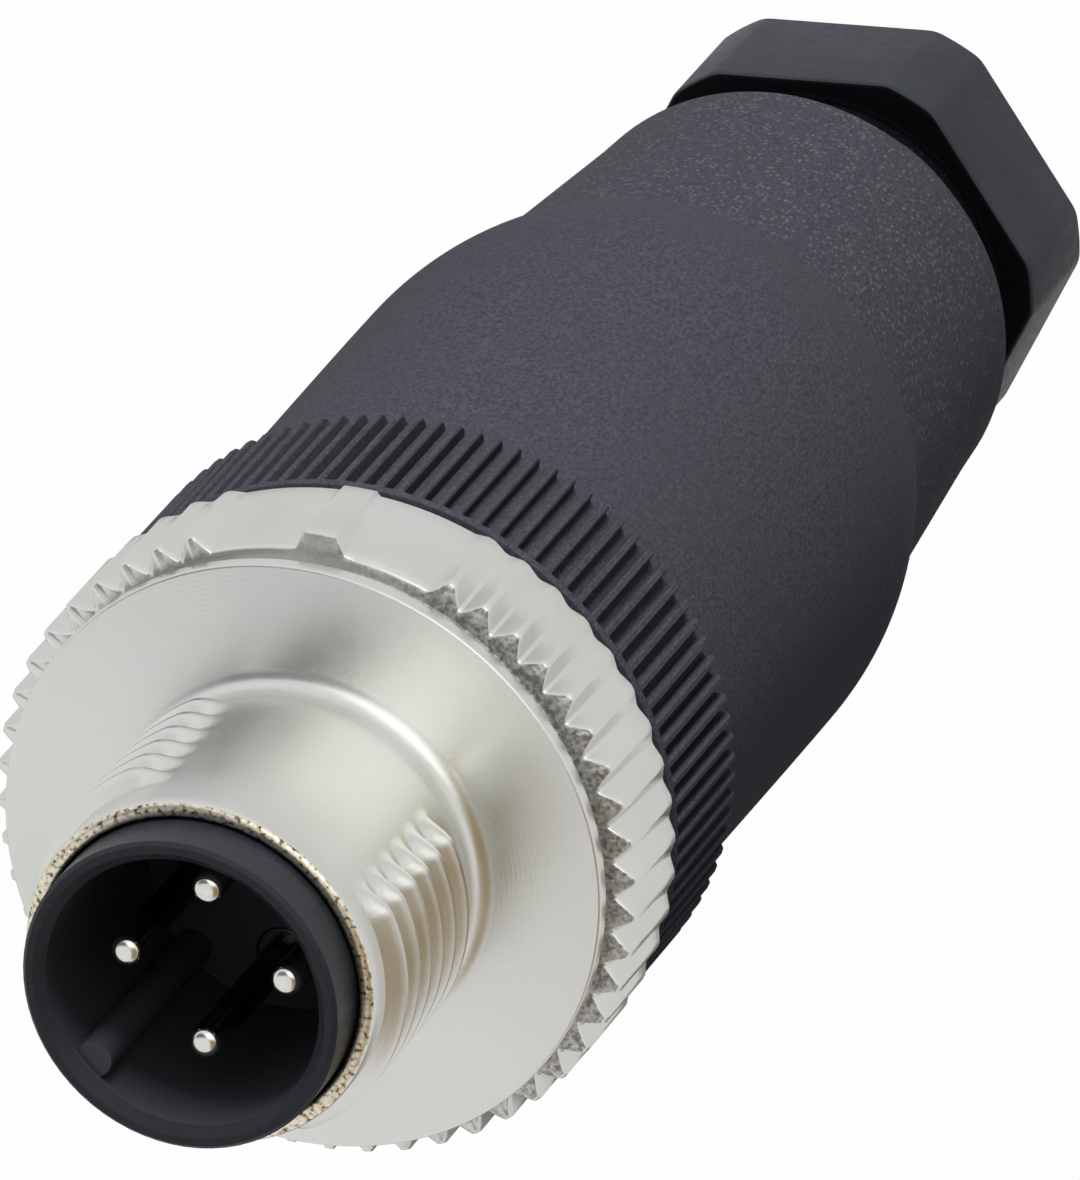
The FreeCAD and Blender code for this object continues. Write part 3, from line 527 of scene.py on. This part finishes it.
def make_grip(material):
    """Moulded grip with a threaded neck, a bulging body and a band of raised ribs."""
    skin = Skin()
    coarse = even_angles(RIB_COUNT * 2)
    fine = rib_angles()
    band_rear = GRIP_FRONT - BAND_LENGTH
    rim_rear = GRIP_FRONT - BAND_RIM

    neck_top = GRIP_END - 0.02
    rings = []
    for n in range(NECK_ROWS + 1):
        level = NECK_END + (neck_top - NECK_END) * n / NECK_ROWS
        rings.append(skin.ring(coarse, lambda angle, level=level: (
            neck_radius(angle, level), level)))

    body = rounded([
        (NECK_RADIUS, GRIP_END, 0.0),
        (GRIP_END_RADIUS, GRIP_END, GRIP_END_ROUND),
        (GRIP_KINK_RADIUS, GRIP_KINK, 0.0),
    ], steps=6)[:-1]
    cone_low = GRIP_END + GRIP_END_ROUND
    for share in (0.15, 0.4, 0.65, 0.85, 0.96):
        body.append((GRIP_END_RADIUS + (GRIP_KINK_RADIUS - GRIP_END_RADIUS) * share,
                     cone_low + (GRIP_KINK - cone_low) * share))
    body += kinked_body()
    body += [(GRIP_WAIST_RADIUS, band_rear - 0.05)]
    for radius, level in body:
        rings.append(skin.ring(coarse, lambda angle, spot=(radius, level): spot))

    band = [
        (0.0, 0.0), (0.10, 0.06), (0.45, 0.13), (0.80, 0.24), (0.95, 0.34), (1.0, 0.48), (1.0, 1.2),
        (1.0, 2.2), (1.0, 3.2), (1.0, 4.2),
    ]
    for height, step in band:
        level = band_rear + step
        rings.append(skin.ring(fine, lambda angle, level=level, height=height: (
            BAND_FLOOR + (BAND_RADIUS - BAND_FLOOR) * height * rib_share(angle), level)))
    for share, level in ((0.0, rim_rear - 0.08), (0.5, rim_rear - 0.03), (0.88, rim_rear + 0.03),
                         (1.0, rim_rear + 0.1), (1.0, GRIP_FRONT - 0.1)):
        rings.append(skin.ring(fine, lambda angle, level=level, share=share: (
            BAND_FLOOR + (BAND_RADIUS - BAND_FLOOR) * max(share, rib_share(angle)), level)))
    rings.append(skin.ring(fine, lambda angle: (BAND_RADIUS - 0.03, GRIP_FRONT - 0.03)))
    rings.append(skin.ring(coarse, lambda angle: (BAND_RADIUS - 0.1, GRIP_FRONT)))

    seat_bottom = GRIP_END + SEAT_DEPTH
    seat_top = seat_bottom + SEAT_TAPER
    passage_top = seat_top + PASSAGE_LENGTH
    inner = [
        (FLANGE_BORE, GRIP_FRONT),
        (FLANGE_BORE, FLANGE_REAR),
        (UNION_BORE, FLANGE_REAR),
        (UNION_BORE, UNION_END),
        (CHAMBER_RADIUS, UNION_END - (CHAMBER_RADIUS - UNION_BORE)),
        (CHAMBER_RADIUS, passage_top + FUNNEL_LENGTH),
        (PASSAGE_RADIUS, passage_top),
        (PASSAGE_RADIUS, seat_top),
        (NECK_BORE, seat_bottom),
        (NECK_BORE, NECK_END),
    ]
    for spot in inner:
        rings.append(skin.ring(coarse, lambda angle, spot=spot: spot))
    skin.join_all(rings)
    return skin.piece("grip", "housing", "grip_plastic", material, ["grip_body"], sharp=32.0)


def neck_radius(angle, level):
    """Neck's radius with its right-handed screw groove."""
    start = NECK_END + NECK_THREAD_START
    turns = (level - start) - angle / FULL_TURN
    if turns < -0.5 or level - start > NECK_THREAD_TURNS:
        return NECK_RADIUS
    away = abs((turns + 0.5) % 1.0 - 0.5)
    return NECK_RADIUS - NECK_THREAD_DEPTH * max(0.0, 1 - 2 * away / NECK_THREAD_WIDTH)


def kinked_body():
    """Outline from the kink to the waist: a long arc that swells, then eases to the waist."""
    swell = arc((GRIP_KINK_RADIUS, GRIP_KINK), (GRIP_BULGE_RADIUS, GRIP_BULGE), GRIP_BULGE, 22)
    band_rear = GRIP_FRONT - BAND_LENGTH
    fall = GRIP_WAIST_RADIUS - GRIP_BULGE_RADIUS
    reach = band_rear - 0.1 - GRIP_BULGE
    ease = 12
    waist = [(GRIP_BULGE_RADIUS + fall * smoothstep(n / ease), GRIP_BULGE + reach * n / ease)
             for n in range(1, ease + 1)]
    return swell + waist


# Coupling ring

TOOTH_PITCHES = 52
TOOTH_COUNT = 46
KNURL_RADIUS = 10.1
KNURL_ROOT = 9.5
KNURL_REAR_ROOT = 9.96
TOOTH_BASE = 1.02
TOOTH_CREST = 0.2
MARKER_ANGLE = 90.0
MARKER_BASE = 4.9
MARKER_CREST = 2.9
KNURL_LENGTH = 3.4
UNDERCUT_WIDTH = 0.6
UNDERCUT_RADIUS = 9.0
DISC_RADIUS = 9.37
DISC_THICKNESS = 0.5
SLEEVE_RADIUS = 5.45
SLEEVE_BORE = 4.98
SLEEVE_FOOT = 0.65
MOUTH_BEVEL = 0.25
THREAD_HEIGHT = 0.5
THREAD_CRESTS = 6
THREAD_FRONT = 1.45
THREAD_SECTOR = 110.0
THREAD_MIDDLE = 342.2
THREAD_BASE = 0.9
THREAD_CREST = 0.2
THREAD_ROOM = 0.05
THREAD_FADE = 14.0
HUB_BORE = 7.2
SNAP_BORE = 7.8
SNAP_LOW = 1.1
SNAP_HIGH = 2.4
SNAP_SLOPE = 0.1
RIM_BORE = 9.2
KNURL_FRONT = RING_REAR + KNURL_LENGTH
DISC_REAR = KNURL_FRONT + UNDERCUT_WIDTH
DISC_FRONT = DISC_REAR + DISC_THICKNESS
RING_CEILING = DISC_FRONT - 1.0
# Rows of the sleeve lean with the screw between these heights, in full from the room on
THREAD_LOW = DISC_FRONT + SLEEVE_FOOT + THREAD_ROOM
THREAD_HIGH = SLEEVE_FRONT - MOUTH_BEVEL - 0.12
LEAN_ROOM = 0.4


def knurl_angles():
    """Ten columns for each tooth pitch, closest together at the edges of a tooth."""
    pitch = FULL_TURN / TOOTH_PITCHES
    base = math.degrees(TOOTH_BASE / 2 / KNURL_ROOT)
    crest = math.degrees(TOOTH_CREST / 2 / KNURL_RADIUS)
    flank = base - crest
    offsets = [-base - 0.12, -base + 0.12, -crest - flank * 0.25, -crest - 0.02, -crest * 0.4,
               crest * 0.4, crest + 0.02, crest + flank * 0.25, base - 0.12, base + 0.12]
    return [MARKER_ANGLE + (n + 0.5) * pitch + offset
            for n in range(TOOTH_PITCHES) for offset in offsets]


def tooth_share(angle):
    """Height of the knurl as a share of a whole tooth."""
    pitch = FULL_TURN / TOOTH_PITCHES
    away = nearest_turn(angle, MARKER_ANGLE)
    if abs(away) < MARKER_BASE + 0.5:
        return softened((MARKER_BASE - abs(away)) / (MARKER_BASE - MARKER_CREST))
    plain_pitches = (TOOTH_PITCHES - TOOTH_COUNT) / 2
    if abs(away) < pitch * plain_pitches:
        return 0.0
    inside = nearest_turn((away / pitch - 0.5) * FULL_TURN, 0.0) / FULL_TURN * pitch
    base = math.degrees(TOOTH_BASE / 2 / KNURL_ROOT)
    crest = math.degrees(TOOTH_CREST / 2 / KNURL_RADIUS)
    return softened((base - abs(inside)) / (base - crest))


def softened(share):
    """Share held between 0 and 1, with its two corners slightly rounded."""
    corner = 0.08
    if share <= 0:
        return 0.0
    if share >= 1:
        return 1.0
    if share < corner:
        return share * share / corner / 2 + share / 2
    if share > 1 - corner:
        rest = 1 - share
        return 1 - (rest * rest / corner / 2 + rest / 2)
    return share


def thread_share(angle, level):
    """Height of the screw thread as a share of its crest, in two sectors half a pitch apart."""
    for number in (0, 1):
        away = nearest_turn(angle, THREAD_MIDDLE - 180.0 * number)
        reach = THREAD_SECTOR / 2
        if abs(away) >= reach:
            continue
        first = SLEEVE_FRONT - THREAD_FRONT - 0.5 * number + away / FULL_TURN
        crests_down = round(first - level)
        if not 0 <= crests_down < THREAD_CRESTS:
            continue
        off = abs(first - crests_down - level)
        profile = (THREAD_BASE / 2 - off) / (THREAD_BASE / 2 - THREAD_CREST / 2)
        fade = smoothstep((reach - abs(away)) / THREAD_FADE)
        return softened(profile) * fade
    return 0.0


def make_coupling_ring(material):
    """Sleeve with an interrupted thread, flange disc, undercut and knurled rim."""
    skin = Skin()
    angles = knurl_angles()
    rings = []

    def add(place):
        rings.append(skin.ring(angles, place))

    snap_low = RING_REAR + SNAP_LOW
    snap_high = RING_REAR + SNAP_HIGH
    for radius, level in ((HUB_BORE, RING_CEILING), (HUB_BORE, snap_high),
                          (SNAP_BORE, snap_high - SNAP_SLOPE), (SNAP_BORE, snap_low + SNAP_SLOPE),
                          (HUB_BORE, snap_low), (HUB_BORE, RING_REAR)):
        add(lambda angle, spot=(radius, level): spot)
    rear = [(0.16, 0.0), (0.05, 0.04), (0.0, 0.14), (0.0, 1.0), (0.0, 1.8), (0.0, 2.5)]
    front = [(0.0, 0.24), (0.02, 0.15), (0.07, 0.05), (0.15, 0.0)]
    rows = [(cut, RING_REAR + step) for cut, step in rear]
    rows += [(cut, KNURL_FRONT - step) for cut, step in front]
    for cut, level in rows:
        add(lambda angle, cut=cut, level=level: (knurl_radius(angle, level) - cut, level))
    steps = rounded([
        (RIM_BORE, KNURL_FRONT, 0.0),
        (UNDERCUT_RADIUS, KNURL_FRONT, 0.06),
        (UNDERCUT_RADIUS, DISC_REAR, 0.06),
        (DISC_RADIUS, DISC_REAR, 0.06),
        (DISC_RADIUS, DISC_FRONT, 0.10),
        (SLEEVE_RADIUS + SLEEVE_FOOT, DISC_FRONT, 0.0),
    ])
    for spot in steps:
        add(lambda angle, spot=spot: spot)
    foot_steps = 10
    for n in range(1, foot_steps + 1):
        turn = math.radians(90.0 * n / foot_steps)
        spot = (SLEEVE_RADIUS + SLEEVE_FOOT * (1 - math.sin(turn)),
                DISC_FRONT + SLEEVE_FOOT * (1 - math.cos(turn)))
        add(lambda angle, spot=spot: spot)
    phases = (0.0, 0.05, 0.10, 0.18, 0.26, 0.34, 0.42, 0.50, 0.55, 0.60, 0.68, 0.76, 0.84, 0.92)
    levels = []
    for crest in range(int(THREAD_HIGH - THREAD_LOW) + 2):
        for phase in phases:
            level = SLEEVE_FRONT - THREAD_FRONT + 1.0 - crest - phase
            if THREAD_LOW < level < THREAD_HIGH:
                levels.append(level)
    for level in sorted(levels):
        add(lambda angle, level=level: threaded(angle, level))
    mouth = rounded([
        (SLEEVE_RADIUS, SLEEVE_FRONT - 1.0, 0.0),
        (SLEEVE_RADIUS, SLEEVE_FRONT, MOUTH_BEVEL),
        (SLEEVE_BORE, SLEEVE_FRONT, 0.12),
        (SLEEVE_BORE, RING_CEILING, 0.0),
    ])[1:]
    for spot in mouth:
        add(lambda angle, spot=spot: spot)
    skin.join_all(rings)
    return skin.piece("coupling_nut", "coupling", "nickel_plate", material, ["coupling_ring"],
                      sharp=40.0)


def knurl_radius(angle, level):
    """Knurl's radius: the spaces between its teeth are deepest at the front and run out behind."""
    root = KNURL_REAR_ROOT + (KNURL_ROOT - KNURL_REAR_ROOT) * (level - RING_REAR) / KNURL_LENGTH
    away = nearest_turn(angle, MARKER_ANGLE)
    if abs(away) < MARKER_BASE + 0.5:
        return max(root, KNURL_ROOT + (KNURL_RADIUS - KNURL_ROOT) * tooth_share(angle))
    return root + (KNURL_RADIUS - root) * tooth_share(angle)


def threaded(angle, level):
    """Radius and height on the sleeve, with rows that follow the screw's lean in each sector."""
    lean = 0.0
    for number in (0, 1):
        away = nearest_turn(angle, THREAD_MIDDLE - 180.0 * number)
        reach = THREAD_SECTOR / 2
        if abs(away) <= reach:
            lean = away / FULL_TURN
        elif abs(away) <= 90.0:
            rest = (90.0 - abs(away)) / (90.0 - reach)
            lean = math.copysign(reach, away) / FULL_TURN * rest
    room = min(level - THREAD_LOW, THREAD_HIGH - level, LEAN_ROOM) / LEAN_ROOM
    here = level + lean * max(room, 0.0)
    return SLEEVE_RADIUS + THREAD_HEIGHT * thread_share(angle, here), here


# Gland nut

NUT_FLAT = 6.55
NUT_CORNER = 7.13
NUT_TURN = 5.7
NUT_BORE = 5.65
HEX_BOTTOM = 1.8
COLLAR_TOP_RADIUS = 6.3
COLLAR_END_RADIUS = 5.45
NUT_END_WALL = 1.3
NUT_RIM = 6.4
NUT_LEAD_IN = 0.45
NUT_EDGE = 0.16
CABLE_HOLE = 3.2


def hexagon(angle):
    """Distance from the axis to a hexagon whose first corner stands at the nut's turn."""
    inside = nearest_turn((angle - NUT_TURN - 30.0) * 6.0, 0.0) / 6.0
    return NUT_FLAT / math.cos(math.radians(inside))


def soft_least(first, second, softness):
    """Smaller of two lengths, with the change from one to the other rounded."""
    away = max(softness - abs(first - second), 0.0) / softness
    return min(first, second) - away * away * softness / 4


def make_gland_nut(material):
    """Hexagonal nut with turned-down, rounded corners and a tapered end collar."""
    skin = Skin()
    angles = even_angles(360, NUT_TURN)
    rings = []

    def add(place):
        rings.append(skin.ring(angles, place))

    quarter = [math.radians(90.0 * n / 5) for n in range(6)]
    rows = [(NUT_EDGE * (1 - math.sin(turn)), HEX_BOTTOM + NUT_EDGE * (1 - math.cos(turn)))
            for turn in quarter]
    rows += [(NUT_EDGE * (1 - math.cos(turn)), NUT_FRONT - NUT_EDGE * (1 - math.sin(turn)))
             for turn in quarter]
    collar = rounded([
        (CABLE_HOLE, 0.0, 0.15),
        (COLLAR_END_RADIUS, 0.0, 0.2),
        (COLLAR_TOP_RADIUS, HEX_BOTTOM, 0.0),
    ])
    for spot in collar:
        add(lambda angle, spot=spot: spot)
    for inset, level in rows:
        add(lambda angle, inset=inset, level=level: (
            soft_least(hexagon(angle), NUT_CORNER, 0.10) - inset, level))
    for spot in rounded([
        (NUT_RIM, NUT_FRONT, 0.0),
        (NUT_BORE + NUT_LEAD_IN, NUT_FRONT, 0.0),
        (NUT_BORE, NUT_FRONT - NUT_LEAD_IN, 0.0),
        (NUT_BORE, NUT_END_WALL, 0.0),
        (CABLE_HOLE, NUT_END_WALL, 0.0),
    ])[1:]:
        add(lambda angle, spot=spot: spot)
    skin.join_all(rings)
    return skin.piece("clamping_nut", "nut", "nut_plastic", material, ["gland_nut"], sharp=30.0)


# Contacts

PIN_COUNT = 4
PIN_CIRCLE = 2.5
PIN_RADIUS = 0.5
PIN_SHANK = 0.8
PIN_TIP_ROUND = 0.3
BARREL_RADIUS = 1.3
BARREL_LENGTH = 9.5
WIRE_HOLE = 0.8
WIRE_HOLE_DEPTH = 7.0
CAVITY_FLOOR = SHROUD_FRONT - 8.5


def make_pin(number, material):
    """Turned contact with a round nose in front and a wire barrel behind."""
    turn = math.radians(FULL_TURN / PIN_COUNT * (number - 1))
    skin = Skin((PIN_CIRCLE * math.cos(turn), PIN_CIRCLE * math.sin(turn)))
    angles = even_angles(48)
    barrel_top = BARREL_END + BARREL_LENGTH
    outline = rounded([
        (WIRE_HOLE, BARREL_END + WIRE_HOLE_DEPTH, 0.0),
        (WIRE_HOLE, BARREL_END, 0.08),
        (BARREL_RADIUS, BARREL_END, 0.1),
        (BARREL_RADIUS, barrel_top, 0.05),
        (PIN_SHANK, barrel_top, 0.0),
        (PIN_SHANK, CAVITY_FLOOR, 0.04),
        (PIN_RADIUS, CAVITY_FLOOR, 0.0),
        (PIN_RADIUS, PIN_TIP - PIN_TIP_ROUND, 0.0),
    ])
    nose_steps = 8
    for n in range(1, nose_steps + 1):
        turn = math.radians(90.0 * n / nose_steps)
        outline.append((PIN_RADIUS - PIN_TIP_ROUND * (1 - math.cos(turn)),
                        PIN_TIP - PIN_TIP_ROUND * (1 - math.sin(turn))))
    rings = [skin.ring(angles, lambda angle, spot=spot: spot) for spot in outline]
    skin.join_all(rings, closed=False)
    skin.cap(rings[0], BARREL_END + WIRE_HOLE_DEPTH)
    skin.cap(rings[-1], PIN_TIP)
    return skin.piece("pin_%d" % number, "housing", "contact_metal", material,
                      ["contact_pin_%d" % number], sharp=35.0)


# Frame's own pieces

def dress(node, material):
    """Give a piece of the frame its finish."""
    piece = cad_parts[node]
    piece.data.materials.clear()
    piece.data.materials.append(material)


# Stage, light and camera

# Fill light by direction: azimuth and elevation of its brightest part, cosine at which it
# starts, and strength. The second lights the far side, which the photograph doesn't show.
FILLS = [
    (92.0, 5.0, -0.3, 0.52),
    (-130.0, 10.0, 0.0, 0.55),
]
STUDIO_WHITE = 0.86
# Lighter and darker parts of the studio: azimuth, elevation, full within, gone beyond, colour
STUDIO_PARTS = [
    (56.0, 58.0, 14.0, 36.0, (1.55, 1.55, 1.53)),
    (-35.0, 50.0, 16.0, 42.0, (0.34, 0.26, 0.16)),
    (160.0, 60.0, 12.0, 28.0, (0.20, 0.21, 0.23)),
]
FLOOR_COLOUR = (0.42, 0.42, 0.42)
FLOOR_GLOW = [("Is Camera Ray", 0.985), ("Is Glossy Ray", 0.70), ("Is Transmission Ray", 0.985)]
# Dark card on the floor, seen in reflections only: azimuths, distances from the axis, colour
CARD = ((-150.0, -50.0), (14.0, 130.0), (0.20, 0.18, 0.15))


def floor_finish():
    """Pale surface that looks white to the camera and in reflections, and still takes a shadow."""
    material = bpy.data.materials.new("floor_white")
    material.use_nodes = True
    tree = material.node_tree
    tree.nodes.clear()
    paths = tree.nodes.new("ShaderNodeLightPath")
    matt = tree.nodes.new("ShaderNodeBsdfDiffuse")
    matt.inputs["Color"].default_value = (*FLOOR_COLOUR, 1.0)
    glow = tree.nodes.new("ShaderNodeEmission")
    share = None
    for kind, part in FLOOR_GLOW:
        scaled = tree.nodes.new("ShaderNodeMath")
        scaled.operation = "MULTIPLY"
        scaled.inputs[1].default_value = part
        tree.links.new(paths.outputs[kind], scaled.inputs[0])
        if share is None:
            share = scaled.outputs["Value"]
            continue
        most = tree.nodes.new("ShaderNodeMath")
        most.operation = "MAXIMUM"
        tree.links.new(share, most.inputs[0])
        tree.links.new(scaled.outputs["Value"], most.inputs[1])
        share = most.outputs["Value"]
    mixed = tree.nodes.new("ShaderNodeMixShader")
    out = tree.nodes.new("ShaderNodeOutputMaterial")
    tree.links.new(share, mixed.inputs["Fac"])
    tree.links.new(matt.outputs["BSDF"], mixed.inputs[1])
    tree.links.new(glow.outputs["Emission"], mixed.inputs[2])
    tree.links.new(mixed.outputs["Shader"], out.inputs["Surface"])
    return material


def make_floor():
    """Plain pale floor under the plug."""
    half = 2500.0 * MM
    mesh = bpy.data.meshes.new("floor")
    mesh.from_pydata([(-half, -half, 0), (half, -half, 0), (half, half, 0), (-half, half, 0)], [],
                     [(0, 1, 2, 3)])
    mesh.materials.append(floor_finish())
    floor = bpy.data.objects.new("floor", mesh)
    bpy.context.scene.collection.objects.link(floor)


def make_card():
    """Dark card on the floor beside the plug, which only reflections see."""
    azimuths, distances, colour = CARD
    steps = 12
    points = []
    faces = []
    for n in range(steps + 1):
        turn = math.radians(azimuths[0] + (azimuths[1] - azimuths[0]) * n / steps)
        for reach in distances:
            points.append((reach * MM * math.cos(turn), reach * MM * math.sin(turn), 0.5 * MM))
        if n:
            faces.append((2 * n - 2, 2 * n - 1, 2 * n + 1, 2 * n))
    material = bpy.data.materials.new("dark_card")
    material.use_nodes = True
    tree = material.node_tree
    tree.nodes.clear()
    glow = tree.nodes.new("ShaderNodeEmission")
    glow.inputs["Color"].default_value = (*colour, 1.0)
    out = tree.nodes.new("ShaderNodeOutputMaterial")
    tree.links.new(glow.outputs["Emission"], out.inputs["Surface"])
    mesh = bpy.data.meshes.new("dark_card")
    mesh.from_pydata(points, [], faces)
    mesh.materials.append(material)
    card = bpy.data.objects.new("dark_card", mesh)
    bpy.context.scene.collection.objects.link(card)
    card.visible_camera = False
    card.visible_diffuse = False
    card.visible_shadow = False


def make_world():
    """Grey fill. The camera sees white, and reflections see white with a few dark parts."""
    world = bpy.data.worlds.new("studio")
    bpy.context.scene.world = world
    world.use_nodes = True
    tree = world.node_tree
    tree.nodes.clear()
    paths = tree.nodes.new("ShaderNodeLightPath")
    fill = tree.nodes.new("ShaderNodeBackground")
    fill.inputs["Color"].default_value = (0.96, 0.98, 1.0, 1.0)
    total = tree.nodes.new("ShaderNodeMath")
    total.operation = "ADD"
    for socket, (azimuth, elevation, start, most) in zip(total.inputs, FILLS):
        tree.links.new(facing(tree, azimuth, elevation, start, 0.95, 0.01, most), socket)
    tree.links.new(total.outputs["Value"], fill.inputs["Strength"])
    white = tree.nodes.new("ShaderNodeBackground")
    white.inputs["Color"].default_value = (1.0, 1.0, 1.0, 1.0)
    reflected = tree.nodes.new("ShaderNodeBackground")
    tree.links.new(studio_colour(tree), reflected.inputs["Color"])
    glossy = tree.nodes.new("ShaderNodeMath")
    glossy.operation = "MAXIMUM"
    lit = tree.nodes.new("ShaderNodeMixShader")
    seen = tree.nodes.new("ShaderNodeMixShader")
    out = tree.nodes.new("ShaderNodeOutputWorld")
    tree.links.new(paths.outputs["Is Glossy Ray"], glossy.inputs[0])
    tree.links.new(paths.outputs["Is Transmission Ray"], glossy.inputs[1])
    tree.links.new(glossy.outputs["Value"], lit.inputs["Fac"])
    tree.links.new(fill.outputs["Background"], lit.inputs[1])
    tree.links.new(reflected.outputs["Background"], lit.inputs[2])
    tree.links.new(paths.outputs["Is Camera Ray"], seen.inputs["Fac"])
    tree.links.new(lit.outputs["Shader"], seen.inputs[1])
    tree.links.new(white.outputs["Background"], seen.inputs[2])
    tree.links.new(seen.outputs["Shader"], out.inputs["Surface"])


def studio_colour(tree):
    """Colour of the studio's walls by direction: white, with darker things standing in places."""
    colour = (STUDIO_WHITE, STUDIO_WHITE, STUDIO_WHITE)
    for azimuth, elevation, inner, outer, tint in STUDIO_PARTS:
        near = facing(tree, azimuth, elevation, math.cos(math.radians(outer)),
                      math.cos(math.radians(inner)), 0.0, 1.0)
        blend = tree.nodes.new("ShaderNodeMix")
        blend.data_type = "RGBA"
        first, second = [s for s in blend.inputs if s.type == "RGBA"]
        if isinstance(colour, tuple):
            first.default_value = (*colour, 1.0)
        else:
            tree.links.new(colour, first)
        second.default_value = (*tint, 1.0)
        tree.links.new(near, blend.inputs["Factor"])
        colour = next(s for s in blend.outputs if s.type == "RGBA")
    return colour


def facing(tree, azimuth, elevation, start, end, least, most):
    """Value that goes from least to most as a direction turns towards the one given.

    Start and end are cosines of the angle between the two.
    """
    place = tree.nodes.new("ShaderNodeTexCoord").outputs["Generated"]
    towards = tree.nodes.new("ShaderNodeVectorMath")
    towards.operation = "DOT_PRODUCT"
    towards.inputs[1].default_value = direction(azimuth, elevation)
    tree.links.new(place, towards.inputs[0])
    near = tree.nodes.new("ShaderNodeMapRange")
    near.interpolation_type = "SMOOTHSTEP"
    near.inputs["From Min"].default_value = start
    near.inputs["From Max"].default_value = end
    near.inputs["To Min"].default_value = least
    near.inputs["To Max"].default_value = most
    tree.links.new(towards.outputs["Value"], near.inputs["Value"])
    return near.outputs["Result"]


def direction(azimuth, elevation):
    """Unit vector. Azimuth is from +X towards +Y."""
    turn, rise = math.radians(azimuth), math.radians(elevation)
    level = math.cos(rise)
    return Vector((math.cos(turn) * level, math.sin(turn) * level, math.sin(rise)))


def make_lamp(name, azimuth, elevation, distance, size, power, colour):
    """Soft square lamp that faces the plug's middle and doesn't show in reflections."""
    data = bpy.data.lights.new(name, "AREA")
    data.size = size * MM
    data.energy = power
    data.color = colour
    lamp = bpy.data.objects.new(name, data)
    bpy.context.scene.collection.objects.link(lamp)
    back = direction(azimuth, elevation)
    lamp.location = Vector((0, 0, 30 * MM)) + back * distance * MM
    lamp.rotation_euler = back.to_track_quat("Z", "Y").to_euler()
    lamp.visible_glossy = False


def make_camera():
    """Long lens at the photograph's angle, rolled so that the plug lies across the frame."""
    turn, rise, roll = (math.radians(a) for a in (CAMERA_AZIMUTH, CAMERA_ELEVATION, CAMERA_ROLL))
    forward = Vector((-math.sin(turn) * math.cos(rise), math.cos(turn) * math.cos(rise),
                      -math.sin(rise)))
    level_right = Vector((math.cos(turn), math.sin(turn), 0.0))
    level_up = level_right.cross(forward)
    right = level_right * math.cos(roll) + level_up * math.sin(roll)
    up = level_up * math.cos(roll) - level_right * math.sin(roll)
    data = bpy.data.cameras.new("camera")
    data.sensor_width = SENSOR
    data.lens = CAMERA_LENS
    data.clip_start = 10 * MM
    data.clip_end = 10000 * MM
    camera = bpy.data.objects.new("camera", data)
    bpy.context.scene.collection.objects.link(camera)
    place = (Vector(CAMERA_AIM) - forward * CAMERA_DISTANCE) * MM
    matrix = Matrix((right, up, -forward)).transposed().to_4x4()
    matrix.translation = place
    camera.matrix_world = matrix
    bpy.context.scene.camera = camera


def make_pieces():
    grip = grip_finish()
    nickel = nickel_finish()
    contact = plated_finish("contact_metal", (0.80, 0.79, 0.74), 0.12, 0.0)
    screw = plated_finish("screw_steel", (0.60, 0.60, 0.60), 0.32, 0.006)
    spring = plated_finish("spring_steel", (0.45, 0.45, 0.46), 0.36, 0.006)
    rubber = rubber_finish()
    make_grip(grip)
    make_coupling_ring(nickel)
    make_gland_nut(nut_finish())
    for number in range(1, PIN_COUNT + 1):
        make_pin(number, contact)
        dress("terminal_screw_%d" % number, screw)
    dress("contact_carrier", carrier_finish())
    dress("retaining_ring", spring)
    dress("union_seal", rubber)
    dress("cable_seal", rubber)
    dress("clamping_cage", cage_finish())


make_camera()
make_world()
make_floor()
make_card()
make_lamp("key", 84.0, 8.0, 420.0, 160.0, 1.5, (1.0, 0.99, 0.98))
make_pieces()
bpy.context.scene.view_settings.view_transform = "Standard"
